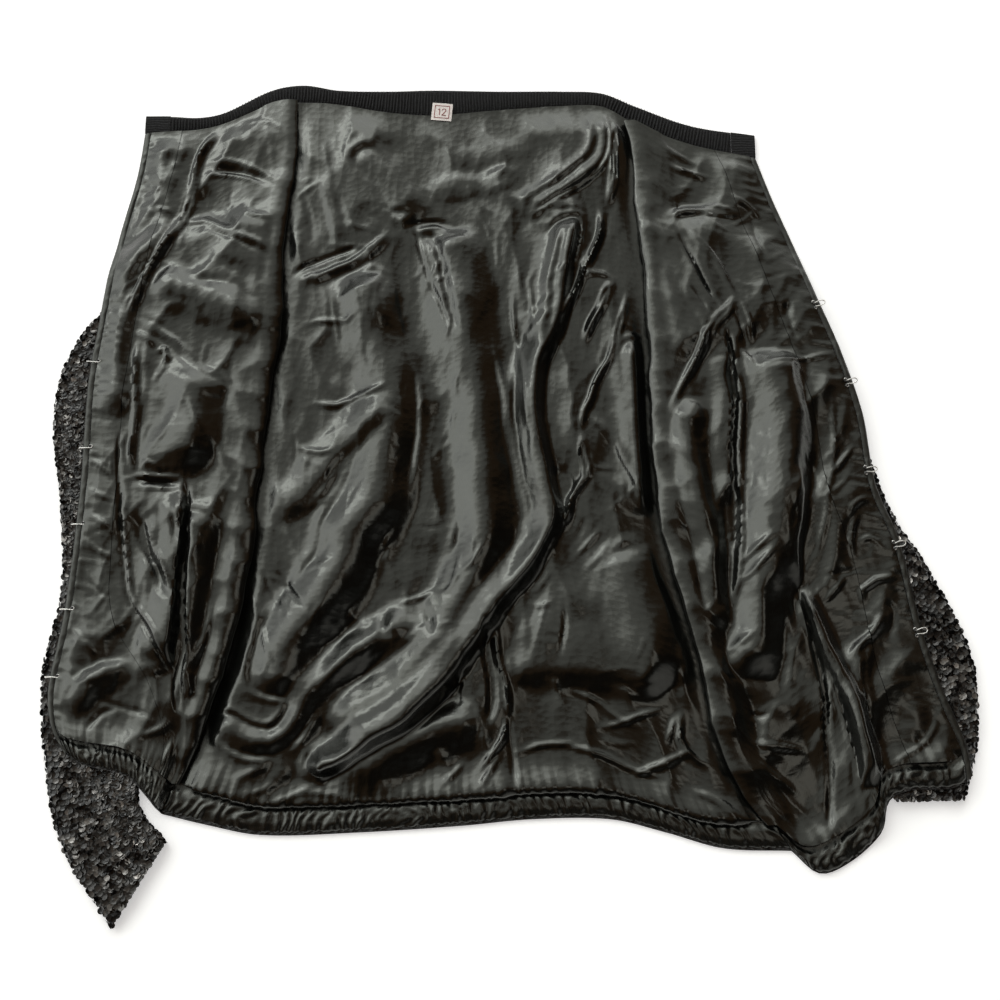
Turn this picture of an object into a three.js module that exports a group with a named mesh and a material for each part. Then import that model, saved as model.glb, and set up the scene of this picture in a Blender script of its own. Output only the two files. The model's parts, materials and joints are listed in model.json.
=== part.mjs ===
// Sequin evening cardigan that lies on its back, both fronts opened outwards, lining up.
// Millimetres. +X is right and +Y the collar, as seen from above; +Z is up, and the cloth rests on z = 0.
// "left" and "right" are sides of that view, so the left front carries the hooks.
import * as THREE from "three";

const { lerp, clamp, smoothstep } = THREE.MathUtils;

// Where the middle of the garment's outline lies in the tables' own x and y.
const OUTLINE_CENTRE = { x: 3, y: 22 };

// Walls and layers
const SHELL_WALL = 2.0;
const LINING_WALL = 1.2;
const LAYER_GAP = 0.3;
const SEAM_GAP = 0.35;
const SHELL_GAP = 1.2;
const LINING_MIDDLE = SHELL_WALL + LAYER_GAP + LINING_WALL / 2;

// Sleeves, pressed flat under the fronts
const SLEEVE = { wall: 1.8, height: 7, topSteps: 4, rows: 13 };
const FRONT_LIFT = 8;
const LIFT_REACH = { full: 16, none: 46 };

// The fold along which a front's lining turns over the back, and how far from it the back lies flat
const ROLL = { lowerLeaf: 5.2, radius: 5, leastRise: 2.6, leastDepth: 4, reach: 34, gap: 1, clearance: 28 };
const ROLL_ANGLES = [45, 0, -45, -80].map(THREE.MathUtils.degToRad);

// Mesh rows and columns
const BACK_GRID = { rows: 26, columns: 28, shellRows: 20, shellColumns: 12 };
const FRONT_GRID = { rows: 21, facing: 3, lining: 8 };

// Where folds run out: shares of a fold's length, shares of a panel's height, millimetres from the front edge
const FOLD_FADE = [-0.12, 0.14];
const FLAT_RIM = { back: 0.1, hem: [0.03, 0.12], neck: 0.1, edge: [6, 34] };
const ROLL_TAPER = { hem: 0.15, neck: 0.25 };

// Trims
const BINDING = {
  width: 6,
  wall: 3,
  profile: [
    { across: 0, high: 0.7 },
    { across: 0.3, high: 1 },
    { across: 0.94, high: 0.9 },
  ],
};
const RIB = { count: 184, base: 2.1, rise: 0.9, coarse: 4 };
const TAB_WALL = 2.8;
const BAND_HEIGHT = { back: 26, front: 22 };
const BACK_BAND = { from: 0.12, to: 0.97, gathers: 56 };
const FRONT_BAND = { from: 0.1, to: 0.96, gathers: 18 };
const BAND_PROFILE = [1.4, 2.3, 2.3, 1.5];
const BAND_GATHER = [0.3, 0.7, 0.7, 0.2];
const BAND_WANDER = 0.06;

// Neckline from the left front corner to the right one: lower edge of the rib, and the height of the band above it
const NECK = [
  { x: -314, y: 335, band: 17 },
  { x: -293, y: 337, band: 15 },
  { x: -266, y: 339, band: 12 },
  { x: -244, y: 345, band: 11 },
  { x: -203, y: 364, band: 14 },
  { x: -175, y: 366, band: 17 },
  { x: -144, y: 364, band: 14 },
  { x: -100, y: 356, band: 21 },
  { x: -60, y: 353, band: 25 },
  { x: 0, y: 358, band: 19 },
  { x: 57, y: 362, band: 15 },
  { x: 91, y: 361, band: 14 },
  { x: 118, y: 345, band: 18 },
  { x: 168, y: 324, band: 19 },
  { x: 225, y: 311, band: 22 },
];
const TABS = { leftEnd: -314, leftSeam: -292, rightSeam: 204, rightEnd: 225 };

const BACK_HEM = [
  { x: -264, y: -254 },
  { x: -230, y: -262 },
  { x: -186, y: -270 },
  { x: -109, y: -268 },
  { x: -30, y: -263 },
  { x: 25, y: -258 },
  { x: 86, y: -258 },
  { x: 129, y: -268 },
  { x: 173, y: -280 },
  { x: 226, y: -282 },
];

// Side seams, hem to neck. roll is how far the front's fold reaches inwards over the back.
const SEAM_LEFT = [
  { x: -264, y: -254, roll: 3 },
  { x: -248, y: -213, roll: 6 },
  { x: -235, y: -166, roll: 8 },
  { x: -222, y: -118, roll: 8 },
  { x: -208, y: 15, roll: 12 },
  { x: -202, y: 84, roll: 11 },
  { x: -198, y: 174, roll: 12 },
  { x: -193, y: 239, roll: 8 },
  { x: -187, y: 311, roll: 8 },
  { x: -186, y: 365, roll: 7 },
];
const SEAM_RIGHT = [
  { x: 226, y: -282, roll: 3 },
  { x: 208, y: -253, roll: 9 },
  { x: 194, y: -221, roll: 13 },
  { x: 180, y: -184, roll: 14 },
  { x: 166, y: -118, roll: 12 },
  { x: 148, y: -56, roll: 13 },
  { x: 138, y: 34, roll: 13 },
  { x: 136, y: 147, roll: 13 },
  { x: 131, y: 205, roll: 11 },
  { x: 127, y: 259, roll: 12 },
  { x: 126, y: 315, roll: 10 },
  { x: 118, y: 345, roll: 8 },
];

// Front edges, hem corner to neck corner
const EDGE_LEFT = [
  { x: -342, y: -207 },
  { x: -353, y: -188 },
  { x: -358, y: -160 },
  { x: -350, y: -95 },
  { x: -345, y: 10 },
  { x: -345, y: 100 },
  { x: -339, y: 161 },
  { x: -331, y: 229 },
  { x: -318, y: 295 },
  { x: -314, y: 335 },
];
const EDGE_RIGHT = [
  { x: 369, y: -225 },
  { x: 366, y: -201 },
  { x: 352, y: -161 },
  { x: 338, y: -110 },
  { x: 325, y: -36 },
  { x: 309, y: 11 },
  { x: 302, y: 73 },
  { x: 287, y: 129 },
  { x: 272, y: 172 },
  { x: 256, y: 222 },
  { x: 238, y: 271 },
  { x: 225, y: 311 },
];

// Front hems, edge corner to side seam
const HEM_LEFT = [
  { x: -342, y: -207 },
  { x: -328, y: -216 },
  { x: -291, y: -226 },
  { x: -276, y: -240 },
  { x: -264, y: -254 },
];
const HEM_RIGHT = [
  { x: 369, y: -225 },
  { x: 355, y: -234 },
  { x: 316, y: -237 },
  { x: 302, y: -245 },
  { x: 295, y: -269 },
  { x: 270, y: -291 },
  { x: 247, y: -299 },
  { x: 226, y: -282 },
];

// Share of a front's width that the facing takes, by height from hem (0) to neck (1)
const FACING_LEFT = [
  { v: 0, share: 0.9 },
  { v: 0.08, share: 0.82 },
  { v: 0.14, share: 0.6 },
  { v: 0.2, share: 0.35 },
  { v: 0.27, share: 0.25 },
  { v: 0.6, share: 0.22 },
  { v: 1, share: 0.26 },
];
const FACING_RIGHT = [
  { v: 0, share: 0.27 },
  { v: 0.3, share: 0.22 },
  { v: 0.6, share: 0.24 },
  { v: 1, share: 0.34 },
];

// Sleeve sections from armhole to cuff: outer edge and inner edge
const SLEEVE_LEFT = [
  { outerX: -198, outerY: 223, innerX: -212, innerY: 18 },
  { outerX: -259, outerY: 212, innerX: -222, innerY: 8 },
  { outerX: -309, outerY: 190, innerX: -235, innerY: -2 },
  { outerX: -346, outerY: 155, innerX: -246, innerY: -22 },
  { outerX: -368, outerY: 110, innerX: -255, innerY: -45 },
  { outerX: -371, outerY: 60, innerX: -262, innerY: -80 },
  { outerX: -361, outerY: 0, innerX: -268, innerY: -115 },
  { outerX: -354, outerY: -75, innerX: -275, innerY: -155 },
  { outerX: -364, outerY: -145, innerX: -281, innerY: -195 },
  { outerX: -359, outerY: -200, innerX: -284, innerY: -225 },
  { outerX: -340, outerY: -275, innerX: -280, innerY: -252 },
  { outerX: -297, outerY: -338, innerX: -260, innerY: -275 },
];
const SLEEVE_RIGHT = [
  { outerX: 134, outerY: 223, innerX: 144, innerY: 18 },
  { outerX: 180, outerY: 215, innerX: 165, innerY: 8 },
  { outerX: 232, outerY: 186, innerX: 186, innerY: -8 },
  { outerX: 276, outerY: 120, innerX: 208, innerY: -34 },
  { outerX: 301, outerY: 48, innerX: 226, innerY: -64 },
  { outerX: 320, outerY: -11, innerX: 241, innerY: -94 },
  { outerX: 342, outerY: -50, innerX: 254, innerY: -120 },
  { outerX: 363, outerY: -92, innerX: 267, innerY: -150 },
  { outerX: 376, outerY: -130, innerX: 278, innerY: -177 },
  { outerX: 378, outerY: -168, innerX: 287, innerY: -202 },
  { outerX: 374, outerY: -205, innerX: 296, innerY: -224 },
  { outerX: 362, outerY: -242, innerX: 309, innerY: -243 },
];

// Folds: where each runs, how high it stands, and how wide it falls to its left and right along the path
const BACK_FOLDS = [
  { name: "shoulder swell", path: [[-157, 345], [-112, 299], [-74, 249]], lift: 7, left: 36, right: 34 },
  {
    name: "centre ease pleat",
    path: [[-72, 241], [-51, 173], [-38, 101], [-31, 22], [-49, -53], [-92, -127], [-141, -190], [-185, -240]],
    lift: 14,
    left: 30,
    right: 26,
  },
  { name: "west band", path: [[-145, 182], [-124, 101], [-132, 22], [-170, -45], [-196, -107]], lift: 8, left: 34, right: 30 },
  {
    name: "long curl",
    path: [[91, 335], [77, 298], [39, 264], [10, 214], [3, 154], [17, 79], [38, 18], [39, -33], [10, -85], [-40, -143],
      [-92, -202], [-151, -235]],
    lift: 17,
    left: 34,
    right: 24,
  },
  { name: "east streak", path: [[109, 185], [81, 118], [67, 70], [69, 22], [54, -16], [45, -53]], lift: 9, left: 22, right: 26 },
  { name: "belly swell", path: [[69, -53], [48, -86], [56, -127]], lift: 11, left: 55, right: 50 },
  { name: "hem arc", path: [[-231, -179], [-202, -195], [-175, -196], [-153, -170], [-124, -132], [-93, -98]], lift: 8, left: 18, right: 18 },
  { name: "hem swell", path: [[47, -202], [78, -221], [93, -244]], lift: 4, left: 30, right: 30 },
];
const LEFT_FOLDS = [
  { name: "shoulder pad", path: [[-228, 328], [-250, 280], [-254, 242], [-271, 196], [-288, 162]], lift: 9, left: 60, right: 22 },
  { name: "lobe", path: [[-271, 126], [-274, 66], [-282, 5], [-275, -53], [-259, -111]], lift: 8, left: 20, right: 22 },
  { name: "hem swell", path: [[-314, -127], [-308, -167], [-290, -198]], lift: 6, left: 34, right: 30 },
];
const RIGHT_FOLDS = [
  { name: "shoulder shelf", path: [[131, 252], [173, 254], [214, 243]], lift: 5, left: 16, right: 16 },
  { name: "bright band", path: [[218, 104], [220, 22], [212, -53], [193, -119], [198, -182]], lift: 9, left: 26, right: 30 },
  { name: "belly swell", path: [[161, -86], [194, -159], [226, -225], [256, -273]], lift: 10, left: 30, right: 34 },
  { name: "lip", path: [[243, -41], [259, -103], [278, -167], [290, -215], [294, -244]], lift: 10, left: 18, right: 16 },
  { name: "corner swell", path: [[325, -86], [328, -151], [333, -198]], lift: 5, left: 30, right: 30 },
];
const PATH_STEPS = 36;

// Hooks and eyes by the y at which they are sewn
const HOOK_HEIGHTS = [115, 40, -25, -95, -150];
const EYE_HEIGHTS = [170, 100, 23, -40, -112];
const WIRE = { radius: 0.5, sides: 5, above: 0.35, reach: 3, extraSteps: 3 };

const LABEL = { x: -51.5, y: 355, width: 18, height: 17, wall: 0.7, bottom: 3.85, turn: -0.09 };

const CLOTH = {
  sequin: new THREE.MeshStandardMaterial({ name: "sequins", color: 0x101012, roughness: 0.25, metalness: 0.3 }),
  satin: new THREE.MeshStandardMaterial({ name: "satin", color: 0x17181a, roughness: 0.35 }),
  knit: new THREE.MeshStandardMaterial({ name: "rib knit", color: 0x141414, roughness: 0.9 }),
  metal: new THREE.MeshStandardMaterial({ name: "metal", color: 0xc4c6c8, roughness: 0.3, metalness: 1 }),
  tag: new THREE.MeshStandardMaterial({ name: "woven tag", color: 0xe6dcda, roughness: 0.8 }),
};

/** Value of one column of a table at x, smooth between the rows, which are sorted by the key column. */
function columnAt(rows, key, column, x) {
  const last = rows.length - 1;
  let i = rows.findIndex((row) => row[key] > x) - 1;
  if (i === -2) i = last - 1;
  i = clamp(i, 0, last - 1);
  const slope = (k) => {
    const a = rows[Math.max(k - 1, 0)];
    const b = rows[Math.min(k + 1, last)];
    return (b[column] - a[column]) / (b[key] - a[key]);
  };
  const span = rows[i + 1][key] - rows[i][key];
  const t = clamp((x - rows[i][key]) / span, 0, 1);
  const t2 = t * t;
  const t3 = t2 * t;
  return (
    (2 * t3 - 3 * t2 + 1) * rows[i][column] +
    (t3 - 2 * t2 + t) * span * slope(i) +
    (3 * t2 - 2 * t3) * rows[i + 1][column] +
    (t3 - t2) * span * slope(i + 1)
  );
}

/** Smooth track through a table's points; t runs 0 to 1 by length. A third column rides along as z. */
function track(rows, column) {
  const curve = new THREE.CatmullRomCurve3(
    rows.map((row) => new THREE.Vector3(row.x, row.y, column ? row[column] : 0)),
    false,
    "centripetal",
  );
  return (t) => curve.getPointAt(clamp(t, 0, 1));
}

const neckY = (x) => columnAt(NECK, "x", "y", x);
const neckBand = (x) => columnAt(NECK, "x", "band", x);

/** Track along the neckline between two x. */
const neckTrack = (fromX, toX) => (t) => {
  const x = lerp(fromX, toX, t);
  return new THREE.Vector3(x, neckY(x), 0);
};

/** A four-sided cloth panel between hem, neck and two side tracks. u runs across, v from hem to neck. */
class Panel {
  constructor(hem, neck, sideA, sideB) {
    Object.assign(this, { hem, neck, sideA, sideB });
    this.corners = [hem(0), hem(1), neck(0), neck(1)];
  }

  at(u, v) {
    const [hem0, hem1, neck0, neck1] = this.corners;
    const mix = (key) =>
      lerp(this.sideA(v)[key], this.sideB(v)[key], u) +
      lerp(this.hem(u)[key], this.neck(u)[key], v) -
      lerp(lerp(hem0[key], hem1[key], u), lerp(neck0[key], neck1[key], u), v);
    return new THREE.Vector3(mix("x"), mix("y"), 0);
  }

  width(v) {
    return this.sideA(v).setZ(0).distanceTo(this.sideB(v).setZ(0));
  }

  height(u) {
    return this.hem(u).distanceTo(this.neck(u));
  }
}

/** The folds of one panel: a height over the flat cloth at any x and y. */
class FoldField {
  constructor(rows) {
    this.folds = rows.map((row) => {
      const curve = new THREE.CatmullRomCurve3(row.path.map(([x, y]) => new THREE.Vector3(x, y, 0)));
      return { ...row, points: curve.getSpacedPoints(PATH_STEPS) };
    });
  }

  /** Signed distance to a fold's path, positive on its left, and how far along it lies, 0 to 1. */
  static near(points, x, y) {
    let best = { distance: Infinity, side: 1, along: 0 };
    for (let i = 1; i < points.length; i++) {
      const a = points[i - 1];
      const b = points[i];
      const dx = b.x - a.x;
      const dy = b.y - a.y;
      const t = clamp(((x - a.x) * dx + (y - a.y) * dy) / (dx * dx + dy * dy), 0, 1);
      const ex = x - a.x - t * dx;
      const ey = y - a.y - t * dy;
      const distance = Math.hypot(ex, ey);
      if (distance < best.distance) {
        best = { distance, side: Math.sign(dx * ey - dy * ex) || 1, along: (i - 1 + t) / (points.length - 1) };
      }
    }
    return best;
  }

  at(x, y) {
    let height = 0;
    for (const fold of this.folds) {
      const { distance, side, along } = FoldField.near(fold.points, x, y);
      const reach = side > 0 ? fold.left : fold.right;
      if (distance >= reach) continue;
      const ends = smoothstep(along, ...FOLD_FADE) * smoothstep(1 - along, ...FOLD_FADE);
      const across = 1 - (distance / reach) ** 2;
      height += fold.lift * across * across * ends;
    }
    return Math.max(height, 0);
  }
}

/** Distance outside a closed outline in the plane, 0 inside it. */
function distanceOutside(outline, x, y) {
  let inside = false;
  let nearest = Infinity;
  outline.forEach((a, i) => {
    const b = outline[(i + 1) % outline.length];
    if (a.y > y !== b.y > y && x < a.x + ((y - a.y) / (b.y - a.y)) * (b.x - a.x)) inside = !inside;
    const dx = b.x - a.x;
    const dy = b.y - a.y;
    const t = clamp(((x - a.x) * dx + (y - a.y) * dy) / (dx * dx + dy * dy), 0, 1);
    nearest = Math.min(nearest, Math.hypot(x - a.x - t * dx, y - a.y - t * dy));
  });
  return inside ? 0 : nearest;
}

/** Triangles between two open runs of vertices that share their ends' positions but not their density. */
function zip(index, runA, runB) {
  let i = 0;
  let j = 0;
  while (i < runA.length - 1 || j < runB.length - 1) {
    const nextA = (i + 1) / (runA.length - 1);
    const nextB = (j + 1) / (runB.length - 1);
    if (j === runB.length - 1 || (i < runA.length - 1 && nextA <= nextB)) {
      index.push(runA[i], runA[i + 1], runB[j]);
      i++;
    } else {
      index.push(runA[i], runB[j + 1], runB[j]);
      j++;
    }
  }
}

/** A mesh geometry with its faces turned outwards. */
function solidFrom(points, index) {
  let volume = 0;
  for (let k = 0; k < index.length; k += 3) {
    const [a, b, c] = [points[index[k]], points[index[k + 1]], points[index[k + 2]]];
    volume += a.dot(b.clone().cross(c));
  }
  const turned = volume < 0 ? index.flatMap((_, k) => (k % 3 ? [] : [index[k], index[k + 2], index[k + 1]])) : index;
  const geometry = new THREE.BufferGeometry().setFromPoints(points);
  geometry.setIndex(turned);
  geometry.computeVertexNormals();
  return geometry;
}

/** Closed cloth wall between a top grid and a bottom grid, rows of points each. The bottom may be coarser. */
function clothWall(top, bottom) {
  const points = [];
  const index = [];
  const ids = [top, bottom].map((grid) => grid.map((row) => row.map((point) => points.push(point) - 1)));
  ids.forEach((grid, layer) => {
    for (let i = 1; i < grid.length; i++) {
      for (let j = 1; j < grid[i].length; j++) {
        const [a, b, c, d] = [grid[i - 1][j - 1], grid[i - 1][j], grid[i][j], grid[i][j - 1]];
        if (layer) index.push(a, c, b, a, d, c);
        else index.push(a, b, c, a, c, d);
      }
    }
  });
  const rim = (grid) => [
    grid[0],
    grid.map((row) => row[row.length - 1]),
    [...grid[grid.length - 1]].reverse(),
    grid.map((row) => row[0]).reverse(),
  ];
  const lower = rim(ids[1]);
  rim(ids[0]).forEach((run, side) => zip(index, [...run].reverse(), [...lower[side]].reverse()));
  return solidFrom(points, index);
}

const grid = (rows, columns, point) =>
  Array.from({ length: rows + 1 }, (_, i) => Array.from({ length: columns + 1 }, (_, j) => point(i / rows, j / columns)));

const raised = (rows, height) => rows.map((row) => row.map((p) => p.clone().setZ(p.z + height)));

/** Two faces of a wall at half its thickness either side of a middle surface; hem and neck rims stay in their rows. */
function bothFaces(middle, wall) {
  const lastRow = middle.length - 1;
  const lastColumn = middle[0].length - 1;
  const faces = [[], []];
  middle.forEach((row, i) => {
    const made = row.map((p, j) => {
      const along = middle[Math.min(i + 1, lastRow)][j].clone().sub(middle[Math.max(i - 1, 0)][j]);
      const across = row[Math.min(j + 1, lastColumn)].clone().sub(row[Math.max(j - 1, 0)]);
      const normal = across.cross(along).normalize();
      if (i === 0 || i === lastRow) normal.setY(0).normalize();
      if (j === 0) normal.set(0, 0, Math.sign(normal.z) || 1);
      return [p.clone().addScaledVector(normal, wall / 2), p.clone().addScaledVector(normal, -wall / 2)];
    });
    faces[0].push(made.map(([upper]) => upper));
    faces[1].push(made.map(([, lower]) => lower));
  });
  return faces;
}

/** One sleeve as a flattened open tube, laid along its table of sections. */
class Sleeve {
  constructor(sections) {
    const outer = track(sections.map((s) => ({ x: s.outerX, y: s.outerY })));
    const inner = track(sections.map((s) => ({ x: s.innerX, y: s.innerY })));
    this.ends = (t) => [outer(t), inner(t)];
    const steps = Array.from({ length: SLEEVE.rows + 1 }, (_, i) => i / SLEEVE.rows);
    this.outline = [...steps.map((t) => outer(t)), ...steps.map((t) => inner(1 - t))];
  }

  /** Ring of one section, inset by a wall or not. */
  ring(t, inset) {
    const [outer, inner] = this.ends(t);
    const width = outer.distanceTo(inner) - 2 * inset;
    const across = inner.clone().sub(outer).normalize();
    const high = SLEEVE.height - inset;
    const middle = SLEEVE.height / 2;
    const bend = middle - inset;
    const flat = Array.from({ length: SLEEVE.topSteps + 1 }, (_, k) => lerp(bend, width - bend, k / SLEEVE.topSteps));
    const corner = bend * (1 - Math.SQRT1_2);
    const rise = bend * Math.SQRT1_2;
    const half = [
      [0, middle],
      [corner, middle + rise],
      ...flat.map((s) => [s, high]),
      [width - corner, middle + rise],
    ];
    const under = [
      [width, middle],
      [width - corner, middle - rise],
      ...[...flat].reverse().map((s) => [s, inset]),
      [corner, middle - rise],
    ];
    return [...half, ...under].map(([s, z]) =>
      outer
        .clone()
        .addScaledVector(across, s + inset)
        .setZ(z),
    );
  }

  geometry() {
    const points = [];
    const index = [];
    const rings = [];
    for (let i = 0; i <= SLEEVE.rows; i++) {
      rings.push([0, SLEEVE.wall].map((inset) => this.ring(i / SLEEVE.rows, inset).map((p) => points.push(p) - 1)));
    }
    const size = rings[0][0].length;
    const quad = (a, b, c, d) => index.push(a, b, c, a, c, d);
    for (let k = 0; k < size; k++) {
      const m = (k + 1) % size;
      for (let i = 1; i < rings.length; i++) {
        const [[outer0, inner0], [outer1, inner1]] = [rings[i - 1], rings[i]];
        quad(outer0[k], outer0[m], outer1[m], outer1[k]);
        quad(inner0[m], inner0[k], inner1[k], inner1[m]);
      }
      const [first, last] = [rings[0], rings[rings.length - 1]];
      quad(first[0][m], first[0][k], first[1][k], first[1][m]);
      quad(last[0][k], last[0][m], last[1][m], last[1][k]);
    }
    return solidFrom(points, index);
  }
}

/** Point part way along a row of nodes; t runs 0 to 1 over its columns. */
function along(row, t) {
  const last = row.length - 1;
  const k = Math.min(Math.floor(t * last), last - 1);
  return row[k].clone().lerp(row[k + 1], t * last - k);
}

/** Point moved towards another by a distance in millimetres. */
const towards = (from, to, distance) => from.clone().lerp(to, distance / from.distanceTo(to));

/** A casing drawn up on its elastic between two rows of nodes: gathers raised over a plain inside. */
function gatheredBand(hemRow, topRow, { from, to, gathers }) {
  const rows = BAND_PROFILE.length - 1;
  const columns = gathers * 2;
  const place = (s, u) => {
    const p = along(hemRow, u).lerp(along(topRow, u), lerp(from, to, s));
    return p.setZ(p.z + SHELL_WALL + LAYER_GAP);
  };
  const top = grid(rows, columns, (s, u) => {
    const row = Math.round(s * rows);
    const crest = Math.round(u * columns) % 2;
    const p = place(row === 0 ? crest * BAND_WANDER : s, u);
    return p.setZ(p.z + BAND_PROFILE[row] + crest * BAND_GATHER[row]);
  });
  return clothWall(top, grid(1, hemRow.length - 1, place));
}

/** The back: flat shell on the table, folded lining over it, gathered casing at the hem. */
class Back {
  constructor() {
    this.sides = [track(SEAM_LEFT, "roll"), track(SEAM_RIGHT, "roll")];
    const [low, high] = [BACK_HEM[0].x, BACK_HEM[BACK_HEM.length - 1].x];
    const hem = (t) => {
      const x = lerp(low, high, t);
      return new THREE.Vector3(x, columnAt(BACK_HEM, "x", "y", x), 0);
    };
    const neck = neckTrack(SEAM_LEFT[SEAM_LEFT.length - 1].x, SEAM_RIGHT[SEAM_RIGHT.length - 1].x);
    this.panel = new Panel(hem, neck, ...this.sides);
    this.folds = new FoldField(BACK_FOLDS);
    this.bandShare = BAND_HEIGHT.back / this.panel.height(0.5);
  }

  /** Point of the panel by shares, kept a gap inside its sides and neck. */
  point(u, v, gap = SEAM_GAP) {
    const inset = gap / this.panel.width(v);
    const top = 1 - gap / this.panel.height(u);
    return this.panel.at(lerp(inset, 1 - inset, u), v * top);
  }

  shell() {
    const under = grid(BACK_GRID.shellRows, BACK_GRID.shellColumns, (v, u) => this.point(u, v, SHELL_GAP));
    return clothWall(raised(under, SHELL_WALL), under);
  }

  liningPoint(u, s) {
    const v = lerp(this.bandShare, 1, s);
    const p = this.point(u, v);
    const width = this.panel.width(v);
    const clear = (side, distance) => smoothstep(distance, side(v).z + ROLL.gap, side(v).z + ROLL.clearance);
    const open = clear(this.sides[0], u * width) * clear(this.sides[1], (1 - u) * width);
    const rim = smoothstep(s, 0, FLAT_RIM.back) * smoothstep(1 - s, 0, FLAT_RIM.back);
    return p.setZ(LINING_MIDDLE + this.folds.at(p.x, p.y) * open * rim);
  }

  lining() {
    const middle = grid(BACK_GRID.rows, BACK_GRID.columns, (s, u) => this.liningPoint(u, s));
    return clothWall(...bothFaces(middle, LINING_WALL));
  }

  hemBand() {
    const row = (v) => grid(1, BACK_GRID.columns, (_, u) => this.point(u, v))[0];
    return gatheredBand(row(0), row(this.bandShare), BACK_BAND);
  }
}

/** One opened front: shell, facing and lining share one set of nodes, so the layers never cross. */
class Front {
  constructor({ edge, hem, seam, neckFromX, facing, folds, sleeve, inward }) {
    this.seam = track(seam, "roll");
    this.panel = new Panel(track(hem), neckTrack(neckFromX, seam[seam.length - 1].x), track(edge), this.seam);
    this.facingRows = facing;
    this.folds = new FoldField(folds);
    this.sleeve = sleeve;
    this.inward = inward;
    const height = this.panel.height(0.5);
    const band = BAND_HEIGHT.front / height;
    const steps = Array.from({ length: FRONT_GRID.rows + 1 }, (_, i) => i / FRONT_GRID.rows);
    this.rows = [0, ...steps.map((t) => lerp(band, 1 - SEAM_GAP / height, t))];
    this.columns = this.rows.map((v) => this.columnShares(v));
    this.nodes = this.rows.map((v, i) => this.columns[i].map((u) => this.place(u, v)));
  }

  /** Shares of a row's columns: front edge, binding seam, facing seam, side seam. */
  columnShares(v) {
    const width = this.panel.width(v);
    const start = (BINDING.width + SEAM_GAP) / width;
    const end = 1 - SEAM_GAP / width;
    const seam = columnAt(this.facingRows, "v", "share", v);
    const run = (from, to, count) => Array.from({ length: count }, (_, k) => lerp(from, to, k / count));
    return [0, ...run(start, seam, FRONT_GRID.facing), ...run(seam, end, FRONT_GRID.lining), end];
  }

  /** Under face of the shell: on the table, or lifted by the sleeve that lies below. */
  place(u, v) {
    const p = this.panel.at(u, v);
    const clear = distanceOutside(this.sleeve.outline, p.x, p.y);
    return p.setZ(FRONT_LIFT * (1 - smoothstep(clear, LIFT_REACH.full, LIFT_REACH.none)));
  }

  rollTop(i) {
    const v = this.rows[i];
    const seamZ = this.nodes[i][this.nodes[i].length - 1].z;
    const least = Math.max(seamZ + LINING_MIDDLE + ROLL.leastRise, ROLL.lowerLeaf + ROLL.leastDepth);
    const ends = smoothstep(v, 0, ROLL_TAPER.hem) * smoothstep(1 - v, 0, ROLL_TAPER.neck);
    const full = ROLL.lowerLeaf + 2 * ROLL.radius * ends;
    return Math.max(least, full);
  }

  /** Middle surface of facing and lining at one node. */
  middle(i, j) {
    const p = this.nodes[i][j].clone();
    const [u, v] = [this.columns[i][j], this.rows[i]];
    const width = this.panel.width(v);
    const ends = smoothstep(v, ...FLAT_RIM.hem) * smoothstep(1 - v, 0, FLAT_RIM.neck);
    const rim = ends * smoothstep(u * width, ...FLAT_RIM.edge);
    const turn = smoothstep((1 - u) * width, 0, ROLL.reach);
    const flat = p.z + LINING_MIDDLE + this.folds.at(p.x, p.y) * rim;
    return p.setZ(lerp(this.rollTop(i), flat, turn));
  }

  /** Middle surface over the rows above the hem band, for columns from one node to another. */
  surface(from, to) {
    return this.nodes.slice(1).map((row, k) => row.slice(from, to + 1).map((_, j) => this.middle(k + 1, from + j)));
  }

  shell() {
    const under = this.nodes.map((row) => row.slice(1));
    return clothWall(raised(under, SHELL_WALL), under);
  }

  facing() {
    const seam = 1 + FRONT_GRID.facing;
    const middle = this.surface(1, seam).map((row) => [
      ...row.slice(0, -1),
      towards(row[row.length - 1], row[row.length - 2], SEAM_GAP / 2),
    ]);
    return clothWall(...bothFaces(middle, LINING_WALL));
  }

  lining() {
    const seam = 1 + FRONT_GRID.facing;
    const middle = this.surface(seam, seam + FRONT_GRID.lining).map((row, k) => {
      const turn = row[row.length - 1];
      const radius = (turn.z - ROLL.lowerLeaf) / 2;
      const reach = this.seam(this.rows[k + 1]).z - LINING_WALL / 2;
      const roll = ROLL_ANGLES.map((angle) =>
        turn
          .clone()
          .setX(turn.x + this.inward * reach * Math.cos(angle))
          .setZ(turn.z - radius + radius * Math.sin(angle)),
      );
      return [towards(row[0], row[1], SEAM_GAP / 2), ...row.slice(1), ...roll];
    });
    return clothWall(...bothFaces(middle, LINING_WALL));
  }

  binding() {
    const strip = (wall) =>
      this.nodes.map(([edge, seam]) =>
        BINDING.profile.map(({ across, high }) => {
          const p = edge.clone().lerp(seam, across);
          return p.setZ(p.z + high * wall);
        }),
      );
    return clothWall(strip(BINDING.wall), strip(0));
  }

  hemBand() {
    const [hem, top] = this.nodes.map((row) => row.slice(1));
    return gatheredBand(hem, top, FRONT_BAND);
  }

  /** Place on the front edge at a height y, and the way up along the edge. */
  edgeAt(y) {
    const k = this.nodes.findIndex(([edge]) => edge.y > y);
    const [low, high] = [this.nodes[k - 1], this.nodes[k]];
    const t = (y - low[0].y) / (high[0].y - low[0].y);
    const reach = WIRE.reach / low[0].distanceTo(high[0]);
    const heights = [t - reach, t, t + reach].flatMap((s) => [0, 1, 2].map((j) => lerp(low[j].z, high[j].z, s)));
    return {
      point: low[0].clone().lerp(high[0], t).setZ(Math.max(...heights)),
      up: high[0].clone().sub(low[0]).setZ(0).normalize(),
    };
  }
}

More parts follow.
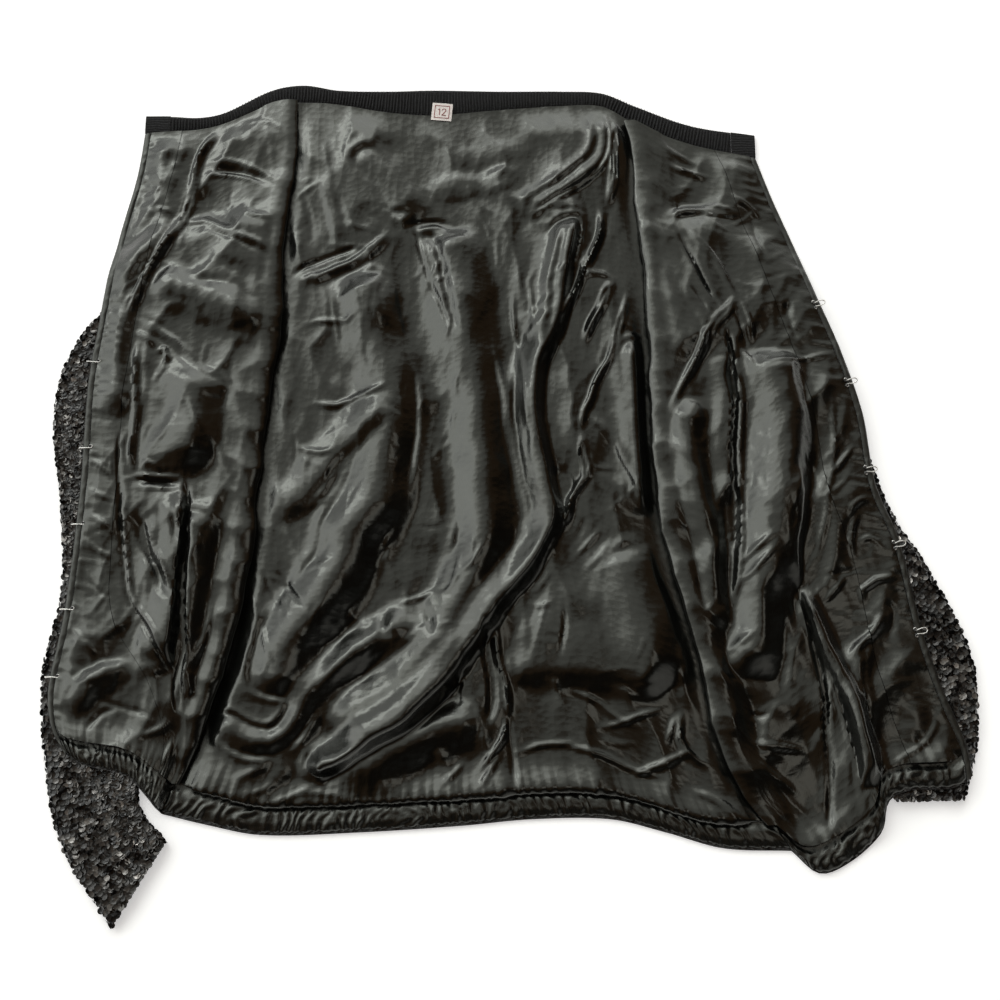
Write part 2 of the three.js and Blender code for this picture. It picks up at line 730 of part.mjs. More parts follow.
/** Ribbed neckband between two x: ribs raised over a plain under face. */
function neckRib() {
  const half = RIB.count * 2;
  const place = (s, u) => {
    const x = lerp(TABS.leftSeam + SEAM_GAP / 2, TABS.rightSeam - SEAM_GAP / 2, u);
    return new THREE.Vector3(x, neckY(x) + s * neckBand(x), 0);
  };
  const top = grid(1, half, (s, u) => place(s, u).setZ(RIB.base + (Math.round(u * half) % 2) * RIB.rise));
  return clothWall(top, grid(1, half / RIB.coarse, place));
}

/** Plain tab at one end of the neckband. */
function neckTab(fromX, toX) {
  const under = grid(2, 3, (s, u) => {
    const x = lerp(fromX, toX, u);
    return new THREE.Vector3(x, neckY(x) + s * neckBand(x), 0);
  });
  return clothWall(raised(under, TAB_WALL), under);
}

/** Round wire along a path, closed at both ends. */
function wireSolid(path) {
  const curve = new THREE.CatmullRomCurve3(path);
  const steps = path.length + WIRE.extraSteps;
  const frames = curve.computeFrenetFrames(steps, false);
  const points = [];
  const index = [];
  for (let i = 0; i <= steps; i++) {
    const centre = curve.getPointAt(i / steps);
    for (let k = 0; k < WIRE.sides; k++) {
      const angle = (2 * Math.PI * k) / WIRE.sides;
      points.push(
        centre
          .clone()
          .addScaledVector(frames.normals[i], WIRE.radius * Math.cos(angle))
          .addScaledVector(frames.binormals[i], WIRE.radius * Math.sin(angle)),
      );
    }
  }
  for (let i = 0; i < steps; i++) {
    for (let k = 0; k < WIRE.sides; k++) {
      const m = (k + 1) % WIRE.sides;
      const [a, b] = [i * WIRE.sides, (i + 1) * WIRE.sides];
      index.push(a + k, a + m, b + m, a + k, b + m, b + k);
    }
  }
  for (const [ring, flip] of [[0, true], [steps * WIRE.sides, false]]) {
    for (let k = 1; k < WIRE.sides - 1; k++) {
      if (flip) index.push(ring, ring + k + 1, ring + k);
      else index.push(ring, ring + k, ring + k + 1);
    }
  }
  return solidFrom(points, index);
}

// Wire shapes in their own plane: out points over the front edge, along runs up the edge, high off the cloth
const HOOK_PATH = [
  { out: -5.4, along: 1.6, high: 0 },
  { out: -6.6, along: 3.2, high: 0 },
  { out: -8.4, along: 2.6, high: 0 },
  { out: -7.6, along: 1.1, high: 0 },
  { out: -3.0, along: 0.9, high: 0 },
  { out: 1.2, along: 0.9, high: 0.2 },
  { out: 2.4, along: 0.4, high: 1.3 },
  { out: 1.0, along: 0, high: 2.4 },
  { out: -2.4, along: 0, high: 2.1 },
];
const EYE_PATH = [
  { out: -5.2, along: 2.6, high: 0 },
  { out: -6.4, along: 3.9, high: 0 },
  { out: -7.4, along: 2.7, high: 0 },
  { out: -6.2, along: 1.6, high: 0 },
  { out: -1.0, along: 2.2, high: 0 },
  { out: 2.2, along: 1.6, high: 0 },
  { out: 3.2, along: 0, high: 0 },
  { out: 2.2, along: -1.6, high: 0 },
  { out: -1.0, along: -2.2, high: 0 },
  { out: -6.2, along: -1.6, high: 0 },
  { out: -7.4, along: -2.7, high: 0 },
  { out: -6.4, along: -3.9, high: 0 },
  { out: -5.2, along: -2.6, high: 0 },
];

/** A hook or an eye, sewn over a front's edge at a height y. */
function fastener(front, y, shape) {
  const { point, up } = front.edgeAt(y);
  const out = new THREE.Vector3(-front.inward * up.y, front.inward * up.x, 0);
  const above = point.z + LINING_MIDDLE + LINING_WALL / 2 + WIRE.radius + WIRE.above;
  return wireSolid(
    shape.map((row) => point.clone().addScaledVector(out, row.out).addScaledVector(up, row.along).setZ(above + row.high)),
  );
}

/** Woven size tag, sewn down over the rib's lower edge. */
function sizeLabel() {
  const tag = new THREE.BoxGeometry(LABEL.width, LABEL.height, LABEL.wall);
  tag.rotateZ(LABEL.turn);
  tag.translate(LABEL.x, LABEL.y, LABEL.bottom + LABEL.wall / 2);
  return tag;
}

/** The whole garment as one group of named pieces. */
function cardigan() {
  const garment = new THREE.Group();
  garment.name = "sequin_cardigan";
  garment.position.set(-OUTLINE_CENTRE.x, -OUTLINE_CENTRE.y, 0);
  const add = (name, geometry, material) => {
    const mesh = new THREE.Mesh(geometry, material);
    mesh.name = name;
    garment.add(mesh);
  };

  const back = new Back();
  add("back_shell", back.shell(), CLOTH.sequin);
  add("back_lining", back.lining(), CLOTH.satin);
  add("back_hem_band", back.hemBand(), CLOTH.satin);

  const sleeves = { left: new Sleeve(SLEEVE_LEFT), right: new Sleeve(SLEEVE_RIGHT) };
  const fronts = {
    left: new Front({
      edge: EDGE_LEFT,
      hem: HEM_LEFT,
      seam: SEAM_LEFT,
      neckFromX: TABS.leftEnd,
      facing: FACING_LEFT,
      folds: LEFT_FOLDS,
      sleeve: sleeves.left,
      inward: 1,
    }),
    right: new Front({
      edge: EDGE_RIGHT,
      hem: HEM_RIGHT,
      seam: SEAM_RIGHT,
      neckFromX: TABS.rightEnd,
      facing: FACING_RIGHT,
      folds: RIGHT_FOLDS,
      sleeve: sleeves.right,
      inward: -1,
    }),
  };
  for (const side of ["left", "right"]) {
    const front = fronts[side];
    add(`sleeve_${side}`, sleeves[side].geometry(), CLOTH.sequin);
    add(`front_shell_${side}`, front.shell(), CLOTH.sequin);
    add(`front_lining_${side}`, front.lining(), CLOTH.satin);
    add(`front_facing_${side}`, front.facing(), CLOTH.satin);
    add(`front_binding_${side}`, front.binding(), CLOTH.satin);
    add(`front_hem_band_${side}`, front.hemBand(), CLOTH.satin);
  }

  add("neck_rib", neckRib(), CLOTH.knit);
  add("neck_tab_left", neckTab(TABS.leftEnd, TABS.leftSeam - SEAM_GAP / 2), CLOTH.knit);
  add("neck_tab_right", neckTab(TABS.rightSeam + SEAM_GAP / 2, TABS.rightEnd), CLOTH.knit);
  HOOK_HEIGHTS.forEach((y, k) => add(`hook_left_${k + 1}`, fastener(fronts.left, y, HOOK_PATH), CLOTH.metal));
  EYE_HEIGHTS.forEach((y, k) => add(`eye_right_${k + 1}`, fastener(fronts.right, y, EYE_PATH), CLOTH.metal));
  add("size_label", sizeLabel(), CLOTH.tag);
  return garment;
}

export default cardigan();
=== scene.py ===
"""Evening cardigan, sequinned outside and lined with black satin, laid open on its back with the lining up.

Tables and sizes are millimetres in the pattern's own plane: +X is right and +Y the collar, seen from above.
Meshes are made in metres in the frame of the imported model. Left and right are sides of that view.
"""

import json
import logging
import math
from dataclasses import dataclass, field
from enum import Enum
from typing import Callable, NamedTuple, Optional, Sequence, Tuple

import bpy
import numpy as np
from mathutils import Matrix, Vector

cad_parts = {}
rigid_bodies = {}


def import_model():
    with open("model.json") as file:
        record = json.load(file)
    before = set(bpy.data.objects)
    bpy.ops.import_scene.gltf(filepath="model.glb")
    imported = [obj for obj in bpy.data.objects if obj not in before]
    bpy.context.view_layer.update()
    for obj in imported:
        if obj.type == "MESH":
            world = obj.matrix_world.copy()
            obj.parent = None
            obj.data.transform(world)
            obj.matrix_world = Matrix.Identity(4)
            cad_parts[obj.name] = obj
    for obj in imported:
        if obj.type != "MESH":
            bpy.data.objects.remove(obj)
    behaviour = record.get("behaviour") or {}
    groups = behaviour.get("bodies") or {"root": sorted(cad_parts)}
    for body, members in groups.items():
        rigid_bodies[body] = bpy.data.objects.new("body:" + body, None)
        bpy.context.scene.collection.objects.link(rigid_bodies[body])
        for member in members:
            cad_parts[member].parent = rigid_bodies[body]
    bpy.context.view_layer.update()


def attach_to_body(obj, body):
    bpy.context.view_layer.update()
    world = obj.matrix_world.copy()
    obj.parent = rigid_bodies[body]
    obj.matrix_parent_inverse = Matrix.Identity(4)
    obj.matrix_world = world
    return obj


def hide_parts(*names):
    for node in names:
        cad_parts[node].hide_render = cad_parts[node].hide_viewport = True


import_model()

LOG = logging.getLogger("cardigan")
Colour = Tuple[float, float, float]
Array = np.ndarray
Run = Callable[[Array], Array]

MM = 0.001
OUTLINE_CENTRE = np.array([3.0, 22.0, 0.0])

# Walls and layers, as in the solids
SHELL_WALL = 2.0
LINING_WALL = 1.0
LAYER_GAP = 0.3
SEAM_GAP = 0.35
LINING_MIDDLE = SHELL_WALL + LAYER_GAP + 0.6
# A front lies this much higher over its sleeve, fully within the first distance of it and not past the second
FRONT_LIFT = 8.0
LIFT_FULL = 16.0
LIFT_NONE = 46.0
SLEEVE_HEIGHT = 7.0
SLEEVE_WALL = 1.8
# The fronts' linings turn over the side seams in soft rolls
ROLL_LOWER = 5.2
ROLL_RADIUS = 5.0
ROLL_LEAST_RISE = 2.6
ROLL_LEAST_DEPTH = 4.0
ROLL_REACH = 34.0
ROLL_CLEARANCE = 13.0
# Narrow trims along the edges, and the gathers that both the solids and these pieces have
BINDING_WIDTH = 6.0
BAND_BACK = 26.0
BAND_FRONT = 22.0
POUCH = 2.5
GATHERS_BACK = 56
GATHERS_FRONT = 18
HIDDEN_INSIDE = 7.0


class EdgeRow(NamedTuple):
    """A point of an outline."""

    x: float
    y: float


class SeamRow(NamedTuple):
    """A point of a side seam, and how far the front's fold reaches inwards over the back there."""

    x: float
    y: float
    roll: float


class NeckRow(NamedTuple):
    """A point of the neckline and the height of the rib above it."""

    x: float
    y: float
    band: float


class ShareRow(NamedTuple):
    """Share of a front's width that the facing takes at a height v."""

    v: float
    share: float


class SleeveRow(NamedTuple):
    """A section of a sleeve, from its outer edge to its inner one."""

    outer_x: float
    outer_y: float
    inner_x: float
    inner_y: float


class Fold(NamedTuple):
    """A fold's path, its lift, how wide it falls to the path's left and right, and how crisp its crest is."""

    name: str
    path: Tuple[Tuple[float, float], ...]
    lift: float
    left: float
    right: float
    crisp: float


NECK = (
    NeckRow(-314, 335, 17), NeckRow(-293, 337, 15), NeckRow(-266, 339, 12), NeckRow(-244, 345, 11),
    NeckRow(-203, 364, 14), NeckRow(-175, 366, 17), NeckRow(-144, 364, 14), NeckRow(-100, 356, 21),
    NeckRow(-60, 353, 25), NeckRow(0, 358, 19), NeckRow(57, 362, 15), NeckRow(91, 361, 14),
    NeckRow(118, 345, 18), NeckRow(168, 324, 19), NeckRow(225, 311, 22),
)
TAB_ENDS = (-314.0, -292.0, 204.0, 225.0)
BACK_HEM = (
    EdgeRow(-264, -254), EdgeRow(-230, -262), EdgeRow(-186, -270), EdgeRow(-109, -268), EdgeRow(-30, -263),
    EdgeRow(25, -258), EdgeRow(86, -258), EdgeRow(129, -268), EdgeRow(173, -280), EdgeRow(226, -282),
)
SEAM_LEFT = (
    SeamRow(-264, -254, 3), SeamRow(-248, -213, 6), SeamRow(-235, -166, 8), SeamRow(-222, -118, 8),
    SeamRow(-208, 15, 12), SeamRow(-202, 84, 11), SeamRow(-198, 174, 12), SeamRow(-193, 239, 8),
    SeamRow(-187, 311, 8), SeamRow(-186, 365, 7),
)
SEAM_RIGHT = (
    SeamRow(226, -282, 3), SeamRow(208, -253, 9), SeamRow(194, -221, 13), SeamRow(180, -184, 14),
    SeamRow(166, -118, 12), SeamRow(148, -56, 13), SeamRow(138, 34, 13), SeamRow(136, 147, 13),
    SeamRow(131, 205, 11), SeamRow(127, 259, 12), SeamRow(126, 315, 10), SeamRow(118, 345, 8),
)
EDGE_LEFT = (
    EdgeRow(-342, -207), EdgeRow(-353, -188), EdgeRow(-358, -160), EdgeRow(-350, -95), EdgeRow(-345, 10),
    EdgeRow(-345, 100), EdgeRow(-339, 161), EdgeRow(-331, 229), EdgeRow(-318, 295), EdgeRow(-314, 335),
)
EDGE_RIGHT = (
    EdgeRow(369, -225), EdgeRow(366, -201), EdgeRow(352, -161), EdgeRow(338, -110), EdgeRow(325, -36),
    EdgeRow(309, 11), EdgeRow(302, 73), EdgeRow(287, 129), EdgeRow(272, 172), EdgeRow(256, 222),
    EdgeRow(238, 271), EdgeRow(225, 311),
)
HEM_LEFT = (
    EdgeRow(-342, -207), EdgeRow(-328, -216), EdgeRow(-291, -226), EdgeRow(-276, -240), EdgeRow(-264, -254),
)
HEM_RIGHT = (
    EdgeRow(369, -225), EdgeRow(355, -234), EdgeRow(316, -237), EdgeRow(302, -245), EdgeRow(295, -269),
    EdgeRow(270, -291), EdgeRow(247, -299), EdgeRow(226, -282),
)
FACING_LEFT = (
    ShareRow(0, 0.9), ShareRow(0.08, 0.82), ShareRow(0.14, 0.6), ShareRow(0.2, 0.35), ShareRow(0.27, 0.25),
    ShareRow(0.6, 0.22), ShareRow(1, 0.26),
)
FACING_RIGHT = (ShareRow(0, 0.27), ShareRow(0.3, 0.22), ShareRow(0.6, 0.24), ShareRow(1, 0.34))
SLEEVE_LEFT = (
    SleeveRow(-198, 223, -212, 18), SleeveRow(-259, 212, -222, 8), SleeveRow(-309, 190, -235, -2),
    SleeveRow(-346, 155, -246, -22), SleeveRow(-368, 110, -255, -45), SleeveRow(-371, 60, -262, -80),
    SleeveRow(-361, 0, -268, -115), SleeveRow(-354, -75, -275, -155), SleeveRow(-364, -145, -281, -195),
    SleeveRow(-359, -200, -284, -225), SleeveRow(-340, -275, -280, -252), SleeveRow(-297, -338, -260, -275),
)
SLEEVE_RIGHT = (
    SleeveRow(134, 223, 144, 18), SleeveRow(180, 215, 165, 8), SleeveRow(232, 186, 186, -8),
    SleeveRow(276, 120, 208, -34), SleeveRow(301, 48, 226, -64), SleeveRow(320, -11, 241, -94),
    SleeveRow(342, -50, 254, -120), SleeveRow(363, -92, 267, -150), SleeveRow(376, -130, 278, -177),
    SleeveRow(378, -168, 287, -202), SleeveRow(374, -205, 296, -224), SleeveRow(362, -242, 309, -243),
)

BACK_FOLDS = (
    Fold("west crest", ((-127, 204), (-111, 174), (-105, 138), (-94, 98), (-93, 58), (-97, 28), (-103, -2),
        (-118, -27), (-127, -57), (-140, -82), (-157, -104), (-169, -122), (-175, -150), (-179, -171)), 14,
        35, 40, 0.25),
    Fold("west step", ((-97, 80), (-119, 62), (-134, 43), (-147, 23), (-158, 6), (-172, -5), (-195, -7)),
        6, 18, 28, 0.35),
    Fold("pleat crest", ((-43, 241), (-36, 211), (-33, 174), (-29, 138), (-24, 111), (-19, 84), (-17, 58),
        (-14, 32), (-11, 6), (-9, -19), (-12, -40), (-19, -59), (-27, -79), (-38, -95), (-50, -116),
        (-61, -132), (-73, -148), (-91, -168), (-110, -182), (-126, -199)), 14, 32, 38, 0.4),
    Fold("curl neck", ((85, 357), (90, 340), (91, 324), (85, 304), (72, 290), (55, 277), (39, 266),
        (24, 247)), 7, 10, 22, 0.6),
    Fold("curl body", ((67, 256), (63, 232), (57, 209), (52, 183), (48, 156), (39, 136), (31, 118),
        (28, 93), (28, 76), (32, 49), (35, 23), (38, 5), (41, -9), (41, -23), (37, -38), (26, -57),
        (12, -73), (0, -87), (-11, -104), (-24, -122), (-37, -140), (-50, -156), (-63, -168), (-80, -183),
        (-96, -195), (-111, -205), (-127, -216), (-139, -221), (-156, -218)), 16, 11, 25, 0.55),
    Fold("curl swell", ((52, 247), (45, 221), (38, 188), (34, 156), (27, 129)), 6, 10, 37, 0.2),
    Fold("curl line 1", ((9, 183), (11, 147), (16, 115), (20, 84), (25, 49)), 1.4, 3.5, 3.5, 0.8),
    Fold("curl line 2", ((23, 193), (26, 165), (28, 142)), 1.4, 3.5, 3.5, 0.8),
    Fold("curl lobe", ((42, 264), (52, 262), (64, 262), (67, 254)), 3, 3.5, 7.5, 0.8),
    Fold("hem arc", ((-233, -180), (-219, -183), (-205, -192), (-190, -198), (-177, -198), (-166, -192),
        (-159, -181), (-153, -168), (-143, -154), (-131, -141), (-120, -129), (-106, -121), (-88, -110),
        (-72, -92)), 10, 20, 23, 0.6),
    Fold("lower arc", ((-10, -175), (-24, -182), (-39, -183), (-55, -188), (-75, -198), (-90, -208),
        (-103, -218), (-117, -222), (-133, -225)), 9, 32, 22, 0.5),
    Fold("slot", ((-24, -125), (-32, -141), (-36, -158), (-33, -168)), -3, 4, 4, 0.4),
    Fold("south band", ((-10, -98), (-12, -118), (-8, -150), (-6, -168), (-11, -183)), -7, 6, 5, 0.3),
    Fold("south rim", ((-2, -100), (-4, -118), (-2, -132), (2, -144), (6, -160), (6, -174), (4, -188),
        (-1, -201), (-9, -211), (-19, -222)), 4, 4, 3.5, 0.8),
    Fold("south line", ((5, -162), (6, -182), (8, -205), (11, -232), (13, -244)), -4, 3.5, 3.5, 0.4),
    Fold("belly", ((4, -125), (24, -134), (48, -137), (80, -141), (111, -147), (137, -152)), 7, 90, 25,
        0.3),
    Fold("belly side", ((91, -36), (99, -53), (105, -76), (112, -102), (120, -126), (129, -144),
        (136, -158)), 8, 35, 33, 0.2),
    Fold("hook rim", ((67, 58), (66, 36), (69, 23), (64, 11), (56, 2), (52, -19), (49, -32)), 5, 6.5, 4,
        0.8),
    Fold("pit", ((45, 28), (51, 6), (48, -6)), -6, 12, 10, 0.2),
    Fold("tent", ((123, 147), (124, 102), (123, 67), (125, 23), (128, -15)), 12, 12, 37, 0.3),
    Fold("tent rim", ((109, 182), (104, 161), (99, 142), (91, 123), (82, 107), (75, 91), (68, 76),
        (66, 58)), 4, 6.5, 3, 0.9),
    Fold("tent foot", ((68, 74), (80, 68), (89, 58), (95, 49), (103, 28), (115, 5), (124, -16)), 3, 8, 5,
        0.7),
    Fold("ribbon 1", ((88, 258), (86, 235), (78, 216), (71, 200), (63, 181), (55, 161), (50, 140)), 7, 5,
        4, 0.8),
    Fold("ribbon 2", ((97, 192), (90, 177), (83, 162), (76, 147), (71, 135)), 6, 5, 6.5, 0.7),
    Fold("ribbon knot", ((68, 193), (77, 197), (90, 195), (97, 192)), 3, 4, 4, 0.8),
    Fold("east top fold", ((104, 345), (100, 316), (98, 287), (94, 263)), 6, 5, 5, 0.6),
    Fold("slant ridge", ((-178, 194), (-154, 200), (-133, 209), (-112, 223), (-92, 240)), 3.5, 5, 10, 0.6),
    Fold("slant groove", ((-186, 197), (-163, 210), (-138, 220), (-116, 229)), -3, 3.5, 3.5, 0.3),
    Fold("shoulder band", ((-130, 325), (-114, 306), (-94, 285), (-80, 263), (-73, 245)), 7, 25, 28, 0.3),
    Fold("yoke ridge", ((-61, 271), (-39, 279), (-17, 281), (4, 288), (26, 291)), 3, 17, 18, 0.4),
    Fold("yoke swell", ((-53, 316), (-26, 306), (4, 316), (40, 325)), 1.5, 18, 18, 0.1),
    Fold("pleat top line", ((-74, 247), (-61, 246), (-38, 245)), -3, 3, 3, 0.3),
    Fold("pleat top", ((-73, 240), (-55, 239), (-39, 239)), 3.5, 3.5, 10, 0.6),
    Fold("pleat crease 1", ((-72, 243), (-69, 225), (-60, 197), (-51, 174), (-44, 152), (-40, 140)), -2.5,
        3, 3, 0.4),
    Fold("pleat crease 2", ((-60, 237), (-51, 215), (-44, 183), (-40, 156), (-36, 138)), -3, 6.5, 5, 0.2),
    Fold("west top dent", ((-159, 289), (-148, 268), (-140, 244), (-141, 222)), 3, 10, 8, 0.5),
    Fold("west top crease", ((-174, 277), (-165, 253), (-162, 230)), -2.5, 5, 5, 0.3),
    Fold("west crease 1", ((-170, 154), (-153, 158), (-137, 154), (-122, 163)), 2, 3, 4, 0.8),
    Fold("west crease 2", ((-162, 84), (-138, 81), (-115, 88), (-94, 95)), 2.4, 3.5, 5, 0.8),
    Fold("west crease 3", ((-172, 46), (-156, 39), (-138, 42)), 2.4, 3.5, 5, 0.8),
    Fold("west crease 4", ((-144, 178), (-142, 156), (-139, 133)), 1.6, 3.5, 3.5, 0.7),
    Fold("west groove 1", ((-182, -61), (-170, -77), (-154, -97)), -3, 3, 3.5, 0.3),
    Fold("west groove 2", ((-192, -61), (-186, -77), (-173, -95)), -2, 3, 3, 0.3),
    Fold("west low crease", ((-203, -77), (-191, -110), (-178, -146)), 1.6, 3, 3, 0.8),
    Fold("hem swell west", ((-212, -238), (-186, -231), (-164, -219), (-155, -214)), 5, 18, 12, 0.3),
    Fold("hem west line", ((-201, -244), (-185, -248), (-167, -242), (-140, -230)), 2, 3.5, 5, 0.7),
    Fold("mid crease 1", ((-32, -61), (-20, -53), (-11, -38)), 1.6, 3, 3.5, 0.8),
    Fold("mid crease 2", ((-85, -90), (-69, -84), (-55, -76)), 1.6, 3, 3.5, 0.8),
    Fold("mid dent", ((-63, -86), (-59, -102), (-55, -116)), -2.5, 5, 5, 0.1),
    Fold("mid dent 2", ((-90, -95), (-96, -112), (-86, -118)), -2, 6, 6.5, 0.1),
    Fold("south crease 1", ((52, -157), (71, -164), (91, -178), (110, -188)), 2, 3.5, 4, 0.8),
    Fold("south crease 2", ((9, -211), (35, -201), (61, -198)), 2, 3.5, 4, 0.8),
    Fold("south crease 3", ((47, -199), (78, -207), (109, -222), (129, -227)), 2.2, 3.5, 4, 0.8),
    Fold("south crease 4", ((71, -188), (110, -179), (136, -171)), 1.8, 3.5, 3.5, 0.8),
    Fold("belly line", ((54, -83), (53, -106), (48, -130)), -2, 3, 3, 0.4),
    Fold("belly crease", ((61, -53), (73, -40), (82, -29)), 1.6, 3.5, 3.5, 0.8),
    Fold("hem east fold", ((145, -174), (142, -194), (149, -209), (167, -219)), 5, 3.5, 6, 0.7),
    Fold("hem east crease", ((103, -225), (125, -217), (152, -206)), 3, 3.5, 6.5, 0.7),
    Fold("hem east rib", ((139, -179), (132, -201)), 3, 3.5, 3.5, 0.8),
    Fold("hem tongue", ((148, -236), (167, -244), (191, -260)), 3, 4, 6.5, 0.6),
    Fold("hem west pucker", ((-156, -236), (-132, -239), (-112, -244)), 2, 3.5, 5, 0.7),
    Fold("hem mid pucker", ((-47, -230), (-38, -221), (-30, -211)), 2, 3.5, 4, 0.7),
    Fold("hem mid pucker 2", ((-19, -236), (-9, -222), (0, -207)), 2.4, 3.5, 4, 0.7),
)
